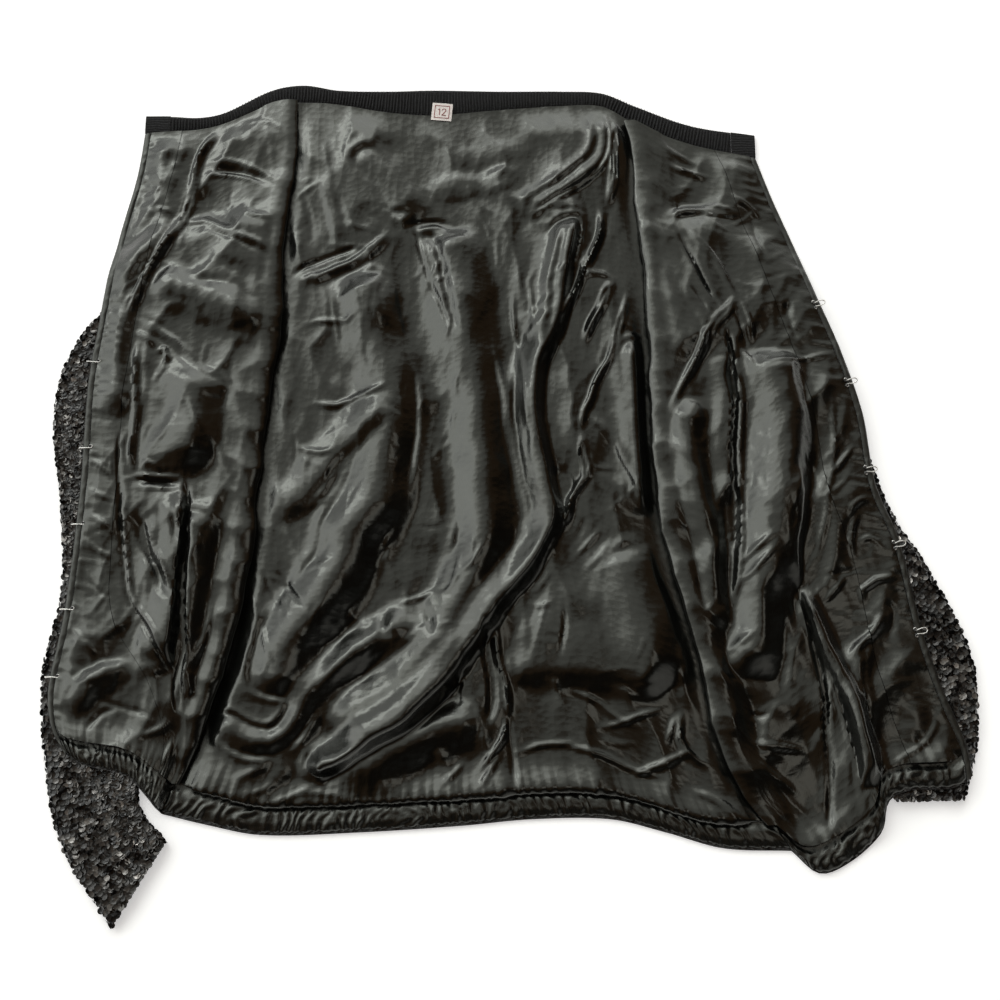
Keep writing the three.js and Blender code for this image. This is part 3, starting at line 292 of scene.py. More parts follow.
LEFT_FOLDS = (
    Fold("facing fall", ((-282, 330), (-298, 306), (-281, 268), (-290, 244), (-305, 218), (-323, 193),
        (-325, 156), (-326, 120), (-322, 67)), 6, 20, 33, 0.3),
    Fold("pad", ((-190, 355), (-190, 316), (-190, 277), (-193, 239), (-195, 202), (-196, 165),
        (-196, 138)), 5, 12, 76, 0.3),
    Fold("pad rim", ((-245, 343), (-263, 316), (-268, 292), (-269, 268), (-273, 253), (-278, 241),
        (-288, 222), (-300, 197), (-307, 183), (-312, 165), (-316, 154)), 4.5, 8, 3.5, 0.8),
    Fold("lens", ((-255, 298), (-232, 296), (-211, 289), (-193, 280)), -3.5, 6, 6, 0.2),
    Fold("lens ridge 1", ((-258, 305), (-232, 305), (-213, 296), (-195, 285), (-183, 270)), 2, 3.5, 4, 0.8),
    Fold("lens ridge 2", ((-262, 292), (-234, 292), (-207, 284)), 2, 3.5, 3.5, 0.8),
    Fold("brown dent", ((-266, 282), (-252, 263), (-235, 241), (-226, 230)), -4, 12, 12, 0),
    Fold("pad crease 1", ((-274, 243), (-255, 245), (-237, 236), (-220, 227), (-205, 221), (-197, 209),
        (-191, 188)), 3, 6.5, 4, 0.7),
    Fold("pad groove", ((-255, 238), (-237, 229), (-219, 221), (-204, 213)), -2.2, 3, 3, 0.3),
    Fold("pad crease 2", ((-299, 192), (-282, 184), (-256, 177), (-237, 169), (-216, 156), (-199, 145),
        (-187, 133)), 7, 25, 28, 0.6),
    Fold("pad dent", ((-245, 209), (-227, 200), (-213, 183), (-207, 163)), -3, 12, 10, 0),
    Fold("top crumple 1", ((-236, 340), (-216, 345), (-198, 341), (-188, 329)), 3, 3.5, 4, 0.8),
    Fold("top crumple 2", ((-211, 363), (-205, 353), (-190, 347)), 3, 3.5, 3.5, 0.7),
    Fold("top crumple 3", ((-222, 268), (-225, 258), (-216, 251), (-195, 247), (-183, 237)), 3, 3.5, 5,
        0.7),
    Fold("facing crease 1", ((-334, 221), (-325, 213), (-315, 204)), 2, 3, 3.5, 0.8),
    Fold("facing crease 2", ((-323, 263), (-304, 259), (-281, 252)), 2, 3.5, 4, 0.7),
    Fold("facing crease 3", ((-320, 277), (-305, 275), (-292, 281)), -2, 4, 3.5, 0.2),
    Fold("lobe", ((-242, 115), (-250, 99), (-255, 83), (-258, 58), (-262, 36), (-262, 15)), 12, 33, 46,
        0.35),
    Fold("lobe rim", ((-306, 138), (-307, 111), (-306, 67), (-306, 41), (-303, 17)), 3.5, 6.5, 3.5, 0.8),
    Fold("roll strip", ((-185, 133), (-189, 93), (-191, 58), (-192, 23), (-199, -2), (-202, -36)), 6, 8,
        25, 0.5),
    Fold("lobe top 1", ((-292, 145), (-272, 137), (-257, 123), (-244, 105)), 3, 4, 3.5, 0.8),
    Fold("lobe top 2", ((-296, 140), (-280, 133), (-265, 122), (-254, 107)), -2, 3, 3, 0.3),
    Fold("knot", ((-288, 125), (-284, 130), (-277, 120), (-282, 111)), 3.4, 3, 3, 0.9),
    Fold("knot 2", ((-306, 142), (-298, 136), (-290, 129)), 3, 3.5, 3.5, 0.8),
    Fold("lobe line", ((-259, 84), (-254, 67), (-247, 51)), 1.6, 3.5, 3, 0.8),
    Fold("dart", ((-234, 115), (-227, 102), (-219, 90), (-212, 83)), 2.4, 4, 3.5, 0.7),
    Fold("waist groove", ((-302, 14), (-284, 12), (-263, 11)), -3.5, 3, 3, 0.3),
    Fold("waist ridge 1", ((-304, 19), (-284, 17), (-263, 16)), 2, 3, 3, 0.8),
    Fold("waist ridge 2", ((-304, 7), (-284, 6), (-262, 6)), 2, 3, 3, 0.8),
    Fold("waist creases", ((-297, 23), (-291, 32), (-280, 20)), 2, 3, 3, 0.8),
    Fold("lower lobe", ((-261, 6), (-260, -19), (-258, -48), (-260, -81), (-264, -110), (-266, -130),
        (-262, -144)), 12, 6, 35, 0.4),
    Fold("brown diagonal", ((-301, -15), (-289, -40), (-275, -63), (-264, -90)), -5, 7.5, 7.5, 0.1),
    Fold("diagonal rim", ((-294, -15), (-281, -40), (-267, -65), (-258, -86)), 3, 4, 3.5, 0.7),
    Fold("wedge", ((-272, -4), (-265, -23), (-260, -43)), -2.5, 3.5, 5, 0.2),
    Fold("slit", ((-260, 15), (-256, -36), (-255, -86), (-254, -134), (-256, -158), (-251, -178)), -8, 5,
        4, 0.2),
    Fold("slit wall", ((-253, -2), (-248, -53), (-249, -102), (-250, -142), (-247, -158), (-237, -175)), 9,
        28, 5, 0.5),
    Fold("blade 1", ((-239, 51), (-232, 34), (-221, 17), (-208, 5), (-199, -2)), 4, 10, 5, 0.8),
    Fold("blade 2", ((-217, -2), (-212, -19), (-214, -40), (-210, -63), (-205, -79), (-212, -98),
        (-214, -118), (-218, -141), (-221, -158)), 6, 5, 7.5, 0.7),
    Fold("blade 3", ((-226, -49), (-214, -53), (-218, -71), (-214, -88), (-213, -102)), 4, 5, 4, 0.7),
    Fold("blade 4", ((-225, -73), (-231, -98), (-238, -120), (-247, -141)), 4, 6.5, 5, 0.6),
    Fold("pocket rim", ((-247, -144), (-242, -162), (-230, -164), (-220, -158)), 4, 3.5, 3.5, 0.7),
    Fold("pocket", ((-228, -160), (-218, -165), (-221, -174), (-231, -175)), -6, 6.5, 6.5, 0.1),
    Fold("facing seam", ((-318, 58), (-314, 15), (-310, -36), (-305, -65), (-301, -85), (-288, -103),
        (-271, -129), (-260, -145)), -2.5, 3, 3, 0.4),
    Fold("seam ridge", ((-309, -2), (-306, -36), (-301, -65), (-297, -84), (-284, -101), (-267, -127)),
        1.8, 4, 3, 0.7),
    Fold("facing line 1", ((-344, 41), (-333, 28), (-320, 17)), 2, 3, 3.5, 0.8),
    Fold("facing line 2", ((-347, 9), (-333, 2), (-318, -5)), 2, 3, 3.5, 0.8),
    Fold("facing line 3", ((-342, -32), (-329, -44), (-315, -53)), 2.2, 3.5, 3.5, 0.8),
    Fold("facing line 4", ((-339, -53), (-335, -69), (-327, -77), (-316, -84)), -2, 3, 3.5, 0.3),
    Fold("facing line 5", ((-349, -104), (-336, -115), (-321, -131)), 2.6, 3.5, 5, 0.7),
    Fold("facing line 6", ((-340, -15), (-327, -22), (-316, -34)), 1.8, 3, 3.5, 0.8),
    Fold("low arc", ((-346, -178), (-334, -160), (-322, -147), (-306, -141), (-294, -146)), 6, 13, 23, 0.3),
    Fold("low groove 1", ((-321, -164), (-300, -172), (-284, -175), (-270, -179)), -2.5, 3.5, 3.5, 0.3),
    Fold("low groove 2", ((-325, -196), (-316, -179), (-300, -172)), -2.5, 3.5, 3.5, 0.3),
    Fold("low ridge", ((-283, -196), (-266, -190), (-258, -181)), 2.6, 3.5, 4, 0.7),
    Fold("casing line", ((-321, -209), (-310, -204), (-292, -208), (-279, -217), (-281, -227)), 2.6, 3.5,
        3.5, 0.8),
    Fold("corner fold", ((-265, -236), (-258, -213), (-255, -194)), 3.2, 3.5, 3.5, 0.8),
    Fold("corner crest", ((-233, -183), (-226, -201), (-223, -225), (-224, -240)), 4, 5, 5, 0.6),
    Fold("corner crest 2", ((-249, -201), (-235, -221), (-228, -240)), 3, 4, 4, 0.7),
)
RIGHT_FOLDS = (
    Fold("roll face", ((123, 209), (135, 181), (148, 154), (161, 133), (168, 118)), 8, 32, 33, 0.2),
    Fold("light seam", ((202, 178), (189, 160), (174, 140), (164, 120), (154, 102), (144, 83), (134, 58),
        (128, 36)), 5, 8, 4, 0.85),
    Fold("mid tongue", ((159, 86), (153, 58), (152, 41), (158, 11), (165, -15), (169, -40), (172, -65),
        (172, -90), (173, -118)), 14, 20, 27, 0.4),
    Fold("deep line", ((193, 145), (195, 124), (196, 109), (193, 71), (191, 45), (191, 11), (192, -19),
        (193, -44)), -9, 3.5, 3.5, 0.3),
    Fold("mid strip", ((192, 133), (188, 93), (189, 58), (188, 23), (186, -9)), 4, 3.5, 18, 0.5),
    Fold("panel", ((233, 129), (234, 93), (234, 58), (231, 15), (225, -27), (217, -69), (208, -118),
        (205, -150)), 16, 28, 38, 0.25),
    Fold("panel rim", ((200, 109), (198, 67), (196, 23), (197, -27), (192, -73), (188, -94)), 3, 5, 3, 0.8),
    Fold("panel east", ((248, 23), (244, -11), (241, -44), (240, -76)), 6, 6.5, 15, 0.4),
    Fold("long line", ((240, -72), (244, -94), (250, -118), (254, -146), (256, -178), (257, -209),
        (259, -236), (256, -263)), -8, 3.5, 3.5, 0.3),
    Fold("lobe strip", ((242, -77), (255, -114), (267, -150), (276, -182), (283, -213), (292, -240)), 12,
        13, 11, 0.4),
    Fold("lobe strip 2", ((275, -197), (282, -232), (285, -255)), 4, 5, 5, 0.6),
    Fold("lobe edge", ((290, -118), (284, -142), (281, -166), (283, -190), (291, -217), (296, -236)), 7,
        12, 17, 0.5),
    Fold("top shelf", ((136, 252), (155, 256), (173, 257), (193, 254), (212, 250)), 5, 10, 6.5, 0.6),
    Fold("top groove", ((121, 259), (143, 261), (163, 262)), -2.5, 3, 3, 0.3),
    Fold("top crease 1", ((125, 316), (131, 292), (135, 268)), 2.5, 3.5, 3.5, 0.8),
    Fold("top pit", ((132, 287), (137, 275), (141, 271)), -3, 3.5, 3.5, 0.2),
    Fold("top crease 2", ((144, 306), (166, 298), (185, 291)), 2.6, 3.5, 5, 0.7),
    Fold("top crease 3", ((132, 335), (154, 316), (177, 305)), 3, 3.5, 5, 0.7),
    Fold("top crease 4", ((204, 272), (217, 260), (225, 247)), 2.5, 3.5, 3.5, 0.8),
    Fold("top crease 5", ((218, 247), (222, 230), (227, 211)), -2, 3, 3, 0.3),
    Fold("top crease 6", ((123, 325), (136, 311), (147, 304)), -2.5, 3.5, 3.5, 0.3),
    Fold("double crease", ((160, 241), (172, 225), (185, 209), (197, 190), (203, 177)), 3.5, 4, 5, 0.7),
    Fold("double groove", ((149, 239), (163, 216), (175, 188), (189, 163)), -3, 4, 3.5, 0.3),
    Fold("double groove 2", ((162, 183), (172, 170), (178, 156)), -2, 3, 3.5, 0.3),
    Fold("pucker 1", ((206, 174), (212, 156), (214, 133)), 2, 3, 3, 0.8),
    Fold("pucker 2", ((202, 127), (209, 118), (214, 109)), 3, 3.5, 3.5, 0.8),
    Fold("pucker 3", ((200, 165), (205, 147), (209, 127)), -2.5, 3.5, 3, 0.3),
    Fold("piece seam", ((214, 109), (236, 115), (257, 119), (281, 127)), 1.8, 3, 3, 0.9),
    Fold("dark mark", ((243, 169), (244, 158)), -3, 5, 5, 0),
    Fold("dark mark tail", ((244, 156), (251, 136)), -1.6, 3, 3, 0.2),
    Fold("facing seam", ((274, 86), (274, 58), (272, 23), (265, -11), (259, -53)), 1.6, 3, 3, 0.9),
    Fold("facing crease 1", ((248, 36), (256, 19), (259, 6)), -2, 3.5, 3, 0.3),
    Fold("facing crease 2", ((292, 46), (281, 30), (270, 15)), 2.6, 4, 3.5, 0.7),
    Fold("facing crease 3", ((283, -21), (289, -9), (305, -2)), 3, 3.5, 4, 0.7),
    Fold("facing crease 4", ((287, -53), (285, -32), (291, -16)), 2.4, 3.5, 4, 0.7),
    Fold("facing crease 5", ((290, -89), (291, -77), (302, -70), (316, -67), (326, -66)), 3.6, 3.5, 5, 0.7),
    Fold("facing groove 1", ((310, -86), (316, -98), (310, -118)), -4, 3.5, 3.5, 0.2),
    Fold("facing groove 2", ((326, -86), (333, -99), (335, -110)), -2.6, 3.5, 3.5, 0.2),
    Fold("facing crease 6", ((275, -136), (286, -123), (298, -112), (307, -94)), 3.6, 3.5, 6.5, 0.7),
    Fold("facing crease 7", ((293, -40), (303, -36), (312, -46)), 2.6, 3.5, 3.5, 0.7),
    Fold("facing line", ((280, -65), (271, -76), (259, -89)), 1.8, 3, 3, 0.8),
    Fold("shadow dent", ((220, -67), (222, -102), (225, -130)), -4, 12, 13, 0),
    Fold("crease a", ((156, -150), (168, -160), (186, -172), (203, -180), (215, -175)), -3, 3, 3.5, 0.3),
    Fold("crease a ridge", ((159, -158), (170, -168), (187, -179), (202, -186)), 3, 4, 6.5, 0.6),
    Fold("crease b", ((169, -188), (189, -200), (208, -204), (243, -207)), 3, 3.5, 4, 0.8),
    Fold("crease c", ((173, -207), (191, -223), (214, -236), (233, -251), (252, -266)), -3.5, 3.5, 3.5,
        0.3),
    Fold("crease c ridge", ((174, -201), (196, -217), (218, -230), (237, -244)), 3, 5, 4, 0.6),
    Fold("crease d", ((153, -102), (165, -95), (174, -86)), 2, 3, 3.5, 0.8),
    Fold("crease e", ((193, -59), (207, -48), (222, -34)), 2, 3.5, 3.5, 0.8),
    Fold("crease f", ((192, -74), (209, -61), (224, -44)), 2, 3.5, 3.5, 0.8),
    Fold("crease g", ((177, -130), (196, -118), (208, -110)), 1.6, 3, 3.5, 0.8),
    Fold("belly rise", ((176, -118), (195, -138), (218, -158), (241, -178)), 4, 28, 25, 0.1),
    Fold("hem lobe", ((227, -283), (250, -286), (270, -280), (286, -268)), 3, 3.5, 6.5, 0.6),
    Fold("corner seam", ((295, -221), (314, -207), (334, -194), (348, -168)), 1.8, 3, 3, 0.9),
    Fold("corner swell", ((321, -158), (325, -182), (318, -204)), 3, 18, 18, 0.1),
    Fold("corner crease", ((323, -190), (328, -201), (338, -213)), -2.4, 4, 4, 0.2),
)
HOOK_HEIGHTS = (115, 40, -25, -95, -150)
EYE_HEIGHTS = (170, 100, 23, -40, -112)
HOOK_PATH = (
    (-5.4, 1.6, 0.0), (-6.6, 3.2, 0.0), (-8.4, 2.6, 0.0), (-7.6, 1.1, 0.0), (-3.0, 0.9, 0.0), (1.2, 0.9, 0.2),
    (2.4, 0.4, 1.3), (1.0, 0.0, 2.4), (-2.4, 0.0, 2.1),
)
EYE_PATH = (
    (-5.2, 2.6, 0.0), (-6.4, 3.9, 0.0), (-7.4, 2.7, 0.0), (-6.2, 1.6, 0.0), (-1.0, 2.2, 0.0), (2.2, 1.6, 0.0),
    (3.2, 0.0, 0.0), (2.2, -1.6, 0.0), (-1.0, -2.2, 0.0), (-6.2, -1.6, 0.0), (-7.4, -2.7, 0.0),
    (-6.4, -3.9, 0.0), (-5.2, -2.6, 0.0),
)


class Sheet(NamedTuple):
    """Cut size of one sheet of cloth, in metres, and what lies under it or is sewn on it."""

    name: str
    width: float
    length: float
    area: float
    rests_on: Tuple[str, ...]
    trims: Tuple[str, ...] = ()


SHEETS = (
    Sheet("back_outer_cloth", 0.50, 0.66, 0.240, ("floor",)),
    Sheet("back_satin", 0.50, 0.66, 0.255, ("back_outer_cloth",), ("back_casing",)),
    Sheet("front_outer_cloth_left", 0.18, 0.63, 0.078, ("sleeve_cloth_left",)),
    Sheet("front_outer_cloth_right", 0.25, 0.66, 0.094, ("sleeve_cloth_right",)),
    Sheet("front_satin_left", 0.17, 0.61, 0.075, ("front_outer_cloth_left",), ("front_casing_left",)),
    Sheet("front_satin_right", 0.22, 0.64, 0.094, ("front_outer_cloth_right",), ("front_casing_right",)),
    Sheet("facing_satin_left", 0.045, 0.57, 0.0215, ("front_outer_cloth_left",), ("edge_binding_left",)),
    Sheet("facing_satin_right", 0.045, 0.57, 0.0215, ("front_outer_cloth_right",), ("edge_binding_right",)),
    Sheet("sleeve_cloth_left", 0.22, 0.60, 0.122, ("floor",), ("sleeve_sequins_left",)),
    Sheet("sleeve_cloth_right", 0.22, 0.57, 0.116, ("floor",), ("sleeve_sequins_right",)),
    Sheet("neck_rib_ground", 0.52, 0.020, 0.0098, ("floor",),
          ("neck_ribs", "neck_tab_left_knit", "neck_tab_right_knit")),
    Sheet("size_tag", 0.020, 0.020, 0.00037, ("back_satin",), ("size_tag_weaving",)),
)


class Side(Enum):
    """Side of the view on which a piece lies; the value points inwards, over the back."""

    LEFT = 1
    RIGHT = -1

    @property
    def word(self) -> str:
        """The side's name in lower case."""
        return self.name.lower()


# Curves and fields


def smooth(t: Array, low: float, high: float) -> Array:
    """Smooth step from 0 at low to 1 at high."""
    s = np.clip((t - low) / (high - low), 0.0, 1.0)
    return s * s * (3.0 - 2.0 * s)


def mix(a: Array, b: Array, t: Array) -> Array:
    """Blend from a to b."""
    return a + (b - a) * t


def through(rows: Sequence[NamedTuple], key: str, column: str, x: Array) -> Array:
    """Smooth curve through one column of a table.

    Args:
        rows: The table, sorted by key.
        key: The column that x is measured in.
        column: The column to read.
        x: Places at which to read it.

    Returns:
        The column's values at x.
    """
    keys = np.array([getattr(row, key) for row in rows], float)
    values = np.array([getattr(row, column) for row in rows], float)
    last = len(keys) - 1
    order = np.arange(last + 1)
    before = np.maximum(order - 1, 0)
    after = np.minimum(order + 1, last)
    slopes = (values[after] - values[before]) / (keys[after] - keys[before])
    x = np.asarray(x, float)
    i = np.clip(np.searchsorted(keys, x, side="right") - 1, 0, last - 1)
    span = keys[i + 1] - keys[i]
    t = np.clip((x - keys[i]) / span, 0.0, 1.0)
    t2, t3 = t * t, t * t * t
    return (
        (2 * t3 - 3 * t2 + 1) * values[i]
        + (t3 - 2 * t2 + t) * span * slopes[i]
        + (3 * t2 - 2 * t3) * values[i + 1]
        + (t3 - t2) * span * slopes[i + 1]
    )


def neck_y(x: Array) -> Array:
    """Height of the neckline, where the rib is sewn on."""
    return through(NECK, "x", "y", x)


def neck_band(x: Array) -> Array:
    """Height of the rib above the neckline."""
    return through(NECK, "x", "band", x)


class Track:
    """Smooth track through points, read by its length."""

    STEPS = 24

    def __init__(self, rows: Sequence[Sequence[float]]) -> None:
        """Lay a centripetal spline through the rows.

        Args:
            rows: The points, one row each.
        """
        p = np.array([tuple(row) for row in rows], float)
        q = np.vstack([2 * p[0] - p[1], p, 2 * p[-1] - p[-2]])
        t = np.linspace(0.0, 1.0, self.STEPS, endpoint=False)[:, None]
        runs = []
        for i in range(len(p) - 1):
            a, b, c, d = q[i : i + 4]
            s0, s1, s2 = (math.sqrt(np.linalg.norm(e - f)) for e, f in ((b, a), (c, b), (d, c)))
            m1 = ((b - a) / s0 - (c - a) / (s0 + s1) + (c - b) / s1) * s1
            m2 = ((c - b) / s1 - (d - b) / (s1 + s2) + (d - c) / s2) * s1
            runs.append(b + m1 * t + (-3 * b + 3 * c - 2 * m1 - m2) * t**2 + (2 * b - 2 * c + m1 + m2) * t**3)
        self.points = np.vstack([*runs, p[-1:]])
        steps = np.linalg.norm(np.diff(self.points, axis=0), axis=1)
        self.lengths = np.concatenate([[0.0], np.cumsum(steps)])

    @property
    def length(self) -> float:
        """Length of the whole track."""
        return float(self.lengths[-1])

    def at(self, t: Array) -> Array:
        """Points at shares of the length, with one row of columns each.

        Args:
            t: Shares of the length.

        Returns:
            The points.
        """
        s = np.clip(np.asarray(t, float), 0.0, 1.0) * self.length
        columns = range(self.points.shape[1])
        return np.stack([np.interp(s, self.lengths, self.points[:, k]) for k in columns], axis=-1)


class Noise:
    """Smooth noise in the plane, between about -1 and 1, the same each run."""

    SIZE = 128

    def __init__(self, seed: int) -> None:
        """Draw the lattice."""
        self.lattice = np.random.default_rng(seed).uniform(-1.0, 1.0, (self.SIZE, self.SIZE))

    def at(self, x: Array, y: Array) -> Array:
        """Noise at x and y, which count lattice cells.

        Args:
            x: Places from left to right.
            y: Places from hem to neck.

        Returns:
            The noise there.
        """
        xi, yi = np.floor(x).astype(int), np.floor(y).astype(int)
        fx, fy = x - xi, y - yi
        sx = fx**3 * (fx * (fx * 6 - 15) + 10)
        sy = fy**3 * (fy * (fy * 6 - 15) + 10)
        corners = [[self.lattice[(xi + i) % self.SIZE, (yi + j) % self.SIZE] for i in (0, 1)] for j in (0, 1)]
        low, high = (mix(a, b, sx) for a, b in corners)
        return mix(low, high, sy)

    def cells(self, x: Array, y: Array) -> Array:
        """Squared distance to the nearest of points strewn one to a cell: bowls that meet in crisp ridges.

        Args:
            x: Places from left to right.
            y: Places from hem to neck.

        Returns:
            The squared distance there.
        """
        xi, yi = np.floor(x).astype(int), np.floor(y).astype(int)
        best = np.full(np.shape(x), 4.0)
        for i, j in ((i, j) for i in (-1, 0, 1) for j in (-1, 0, 1)):
            cx, cy = xi + i, yi + j
            px = cx + 0.5 + 0.45 * self.lattice[cx % self.SIZE, cy % self.SIZE]
            py = cy + 0.5 + 0.45 * self.lattice[(cx + 61) % self.SIZE, (cy + 29) % self.SIZE]
            best = np.minimum(best, (x - px) ** 2 + (y - py) ** 2)
        return best

    def ridged(self, x: Array, y: Array) -> Array:
        """Noise with sharp crests, between about 0 and 1."""
        return 1.0 - np.abs(self.at(x, y)) * 1.6


def nearest(path: Array, x: Array, y: Array) -> Tuple[Array, Array, Array]:
    """Nearest place on a path of short straight runs.

    Args:
        path: Points of the path, one row each.
        x: Places to measure from.
        y: Places to measure from.

    Returns:
        Distance, side of the path (1 on its left, -1 on its right) and how far along it, 0 to 1.
    """
    best = np.full(x.shape, np.inf)
    side = np.ones(x.shape)
    along = np.zeros(x.shape)
    runs = len(path) - 1
    for i in range(runs):
        ax, ay = path[i, 0], path[i, 1]
        dx, dy = path[i + 1, 0] - ax, path[i + 1, 1] - ay
        t = np.clip(((x - ax) * dx + (y - ay) * dy) / (dx * dx + dy * dy), 0.0, 1.0)
        ex, ey = x - ax - t * dx, y - ay - t * dy
        distance = np.hypot(ex, ey)
        closer = distance < best
        best = np.where(closer, distance, best)
        side = np.where(closer, np.where(dx * ey - dy * ex < 0, -1.0, 1.0), side)
        along = np.where(closer, (i + t) / runs, along)
    return best, side, along


class FoldField:
    """The folds of one panel: a height over the flat cloth."""

    RUN = 9.0
    FADE = 24.0
    FADE_SHARE = 0.42
    FOOT = 0.36
    CROWN = (0.5, 0.06)
    SWAY = 0.22
    SWAY_LENGTH = 38.0
    WARP = ((64.0, 3.0), (21.0, 1.0))

    def __init__(self, rows: Sequence[Fold], seed: int) -> None:
        """Take the listed folds; seed sets how they waver.

        Args:
            rows: The folds.
            seed: Seed of the wavering.
        """
        self.rows = list(rows)
        self.seed = seed
        self.noise = [Noise(seed + k) for k in range(5)]

    def add_small(self, count: int, inside: Run, spread: "SmallCreases") -> None:
        """Scatter small creases that mostly run along the large folds.

        Args:
            count: How many.
            inside: Turns an array of shares, two columns, into places on the panel.
            spread: Their sizes.
        """
        rng = np.random.default_rng(self.seed + 50)
        places = inside(rng.uniform(0.04, 0.96, (count, 2)))
        step = 4.0
        x, y = places[:, 0], places[:, 1]
        slope_x = self.height(x + step, y) - self.height(x - step, y)
        slope_y = self.height(x, y + step) - self.height(x, y - step)
        heading = np.arctan2(slope_x, -slope_y) + rng.normal(0.0, spread.turn, count)
        length = rng.uniform(*spread.length, count)
        bend = rng.uniform(-0.16, 0.16, count) * length
        lift = rng.uniform(*spread.lift, count) * np.where(rng.random(count) < 0.25, -1.0, 1.0)
        reach = rng.uniform(*spread.reach, (count, 2))
        way = np.stack([np.cos(heading), np.sin(heading)], axis=1)
        out = np.stack([-way[:, 1], way[:, 0]], axis=1)
        made = []
        for k in range(count):
            ends = [places[k] + way[k] * length[k] * s for s in (-0.5, 0.5)]
            middle = places[k] + out[k] * bend[k]
            path = tuple(tuple(p) for p in (ends[0], middle, ends[1]))
            made.append(Fold(f"small {k}", path, lift[k], reach[k, 0], reach[k, 1], 0.9))
        self.rows += made

    def height(self, x: Array, y: Array) -> Array:
        """Height at x and y, before it is held off the layer below.

        Args:
            x: Places from left to right.
            y: Places from hem to neck.

        Returns:
            The height there.
        """
        x, y = np.asarray(x, float), np.asarray(y, float)
        flat_x, flat_y = x.ravel().copy(), y.ravel().copy()
        for k, (size, amount) in enumerate(self.WARP):
            shift_x = self.noise[k].at(flat_x / size, flat_y / size) * amount
            shift_y = self.noise[k].at(flat_x / size + 31.7, flat_y / size + 17.3) * amount
            flat_x, flat_y = flat_x + shift_x, flat_y + shift_y
        total = np.zeros(flat_x.shape)
        for number, fold in enumerate(self.rows):
            track = Track(fold.path)
            path = track.at(np.linspace(0.0, 1.0, max(4, int(track.length / self.RUN))))
            reach = max(fold.left, fold.right)
            low, high = path.min(axis=0) - reach, path.max(axis=0) + reach
            near = (flat_x > low[0]) & (flat_x < high[0]) & (flat_y > low[1]) & (flat_y < high[1])
            if not near.any():
                continue
            distance, side, along = nearest(path, flat_x[near], flat_y[near])
            width = np.where(side > 0, fold.left, fold.right)
            q = np.clip(distance / width, 0.0, 1.0)
            crown, foot = mix(*self.CROWN, fold.crisp), self.FOOT
            slope = 1.0 / (1.0 - (crown + foot) / 2.0)
            roof = np.where(q < crown, 1.0 - slope * q * q / (2.0 * crown), slope * (1.0 - foot / 2.0 - q))
            roof = np.where(q > 1.0 - foot, slope * (1.0 - q) ** 2 / (2.0 * foot), roof)
            fade = min(self.FADE, self.FADE_SHARE * track.length)
            ends = smooth(along * track.length, -3.0, fade) * smooth((1.0 - along) * track.length, -3.0, fade)
            own = np.full(along.shape, number * 3.7)
            sway = 1.0 + self.SWAY * self.noise[3].at(along * track.length / self.SWAY_LENGTH, own)
            total[near] += fold.lift * roof * ends * sway
        return total.reshape(x.shape)


@dataclass(frozen=True)
class Crumple:
    """Shallow bowls between crisp ridges, in two sizes, strong in some places and weak in others."""

    broad: Tuple[float, float, float] = (46.0, 150.0, 12.0)
    large: Tuple[float, float, float] = (34.0, 80.0, 3.2)
    small: Tuple[float, float, float] = (12.0, 30.0, 0.8)
    patch: float = 70.0
    lean: float = 0.35
    wavers: Tuple[Tuple[float, float], Tuple[float, float]] = ((31.0, 9.0), (17.0, 4.0))
    bowl: float = 0.5
    broad_level: float = 0.1
    level: float = 0.16

    def height(self, noise: Noise, x: Array, y: Array, folds: Array) -> Array:
        """Height at x and y, about 0 on average; the broadest bowls fill only the plain places.

        Args:
            noise: The noise that bends the bowls.
            x: Places from left to right.
            y: Places from hem to neck.
            folds: Height of the folds there.

        Returns:
            The height there.
        """
        strength = smooth(noise.at(x / self.patch + 5, y / self.patch), -0.45, 0.55)
        (long, far), (short, near) = self.wavers
        bent_x = x + self.lean * y + far * noise.at(x / long, y / long)
        bent_y = y + far * noise.at(x / long + 40, y / long)
        across, along, deep = self.broad
        plain = 1 - smooth(np.abs(folds), 1.5, 5.0)
        cells = noise.cells(bent_x / across + 7, bent_y / along)
        total = deep * plain * (np.minimum(cells, self.bowl) - self.broad_level)
        for across, along, deep in (self.large, self.small):
            cells = noise.cells(bent_x / across, bent_y / along)
            total = total + deep * (0.3 + 0.7 * strength) * (np.minimum(cells, self.bowl) - self.level)
            bent_x = x - 0.6 * self.lean * y + near * noise.at(x / short, y / short)
        return total


@dataclass(frozen=True)
class SmallCreases:
    """Sizes of the small creases between the large folds, each a lowest and a highest value."""

    length: Tuple[float, float] = (18.0, 48.0)
    lift: Tuple[float, float] = (0.35, 0.9)
    reach: Tuple[float, float] = (2.6, 5.0)
    turn: float = 0.35


def outside(outline: Array, x: Array, y: Array) -> Array:
    """Distance outside a closed outline, 0 inside it.

    Args:
        outline: Its points, once round.
        x: Places from left to right.
        y: Places from hem to neck.

    Returns:
        The distance at each place.
    """
    closed = np.vstack([outline, outline[:1]])
    distance, _, _ = nearest(closed, x, y)
    inside = np.zeros(x.shape, bool)
    for (ax, ay), (bx, by) in zip(closed[:-1], closed[1:]):
        if ay == by:
            continue
        crosses = (ay > y) != (by > y)
        inside ^= crosses & (x < ax + (y - ay) / (by - ay) * (bx - ax))
    return np.where(inside, 0.0, distance)


def hold_off(height: Array, least: float, soft: float) -> Array:
    """Height kept above a least value, with a soft turn of a given size."""
    over = height - least
    return least + 0.5 * (over + np.sqrt(over * over + soft * soft)) - 0.2 * soft


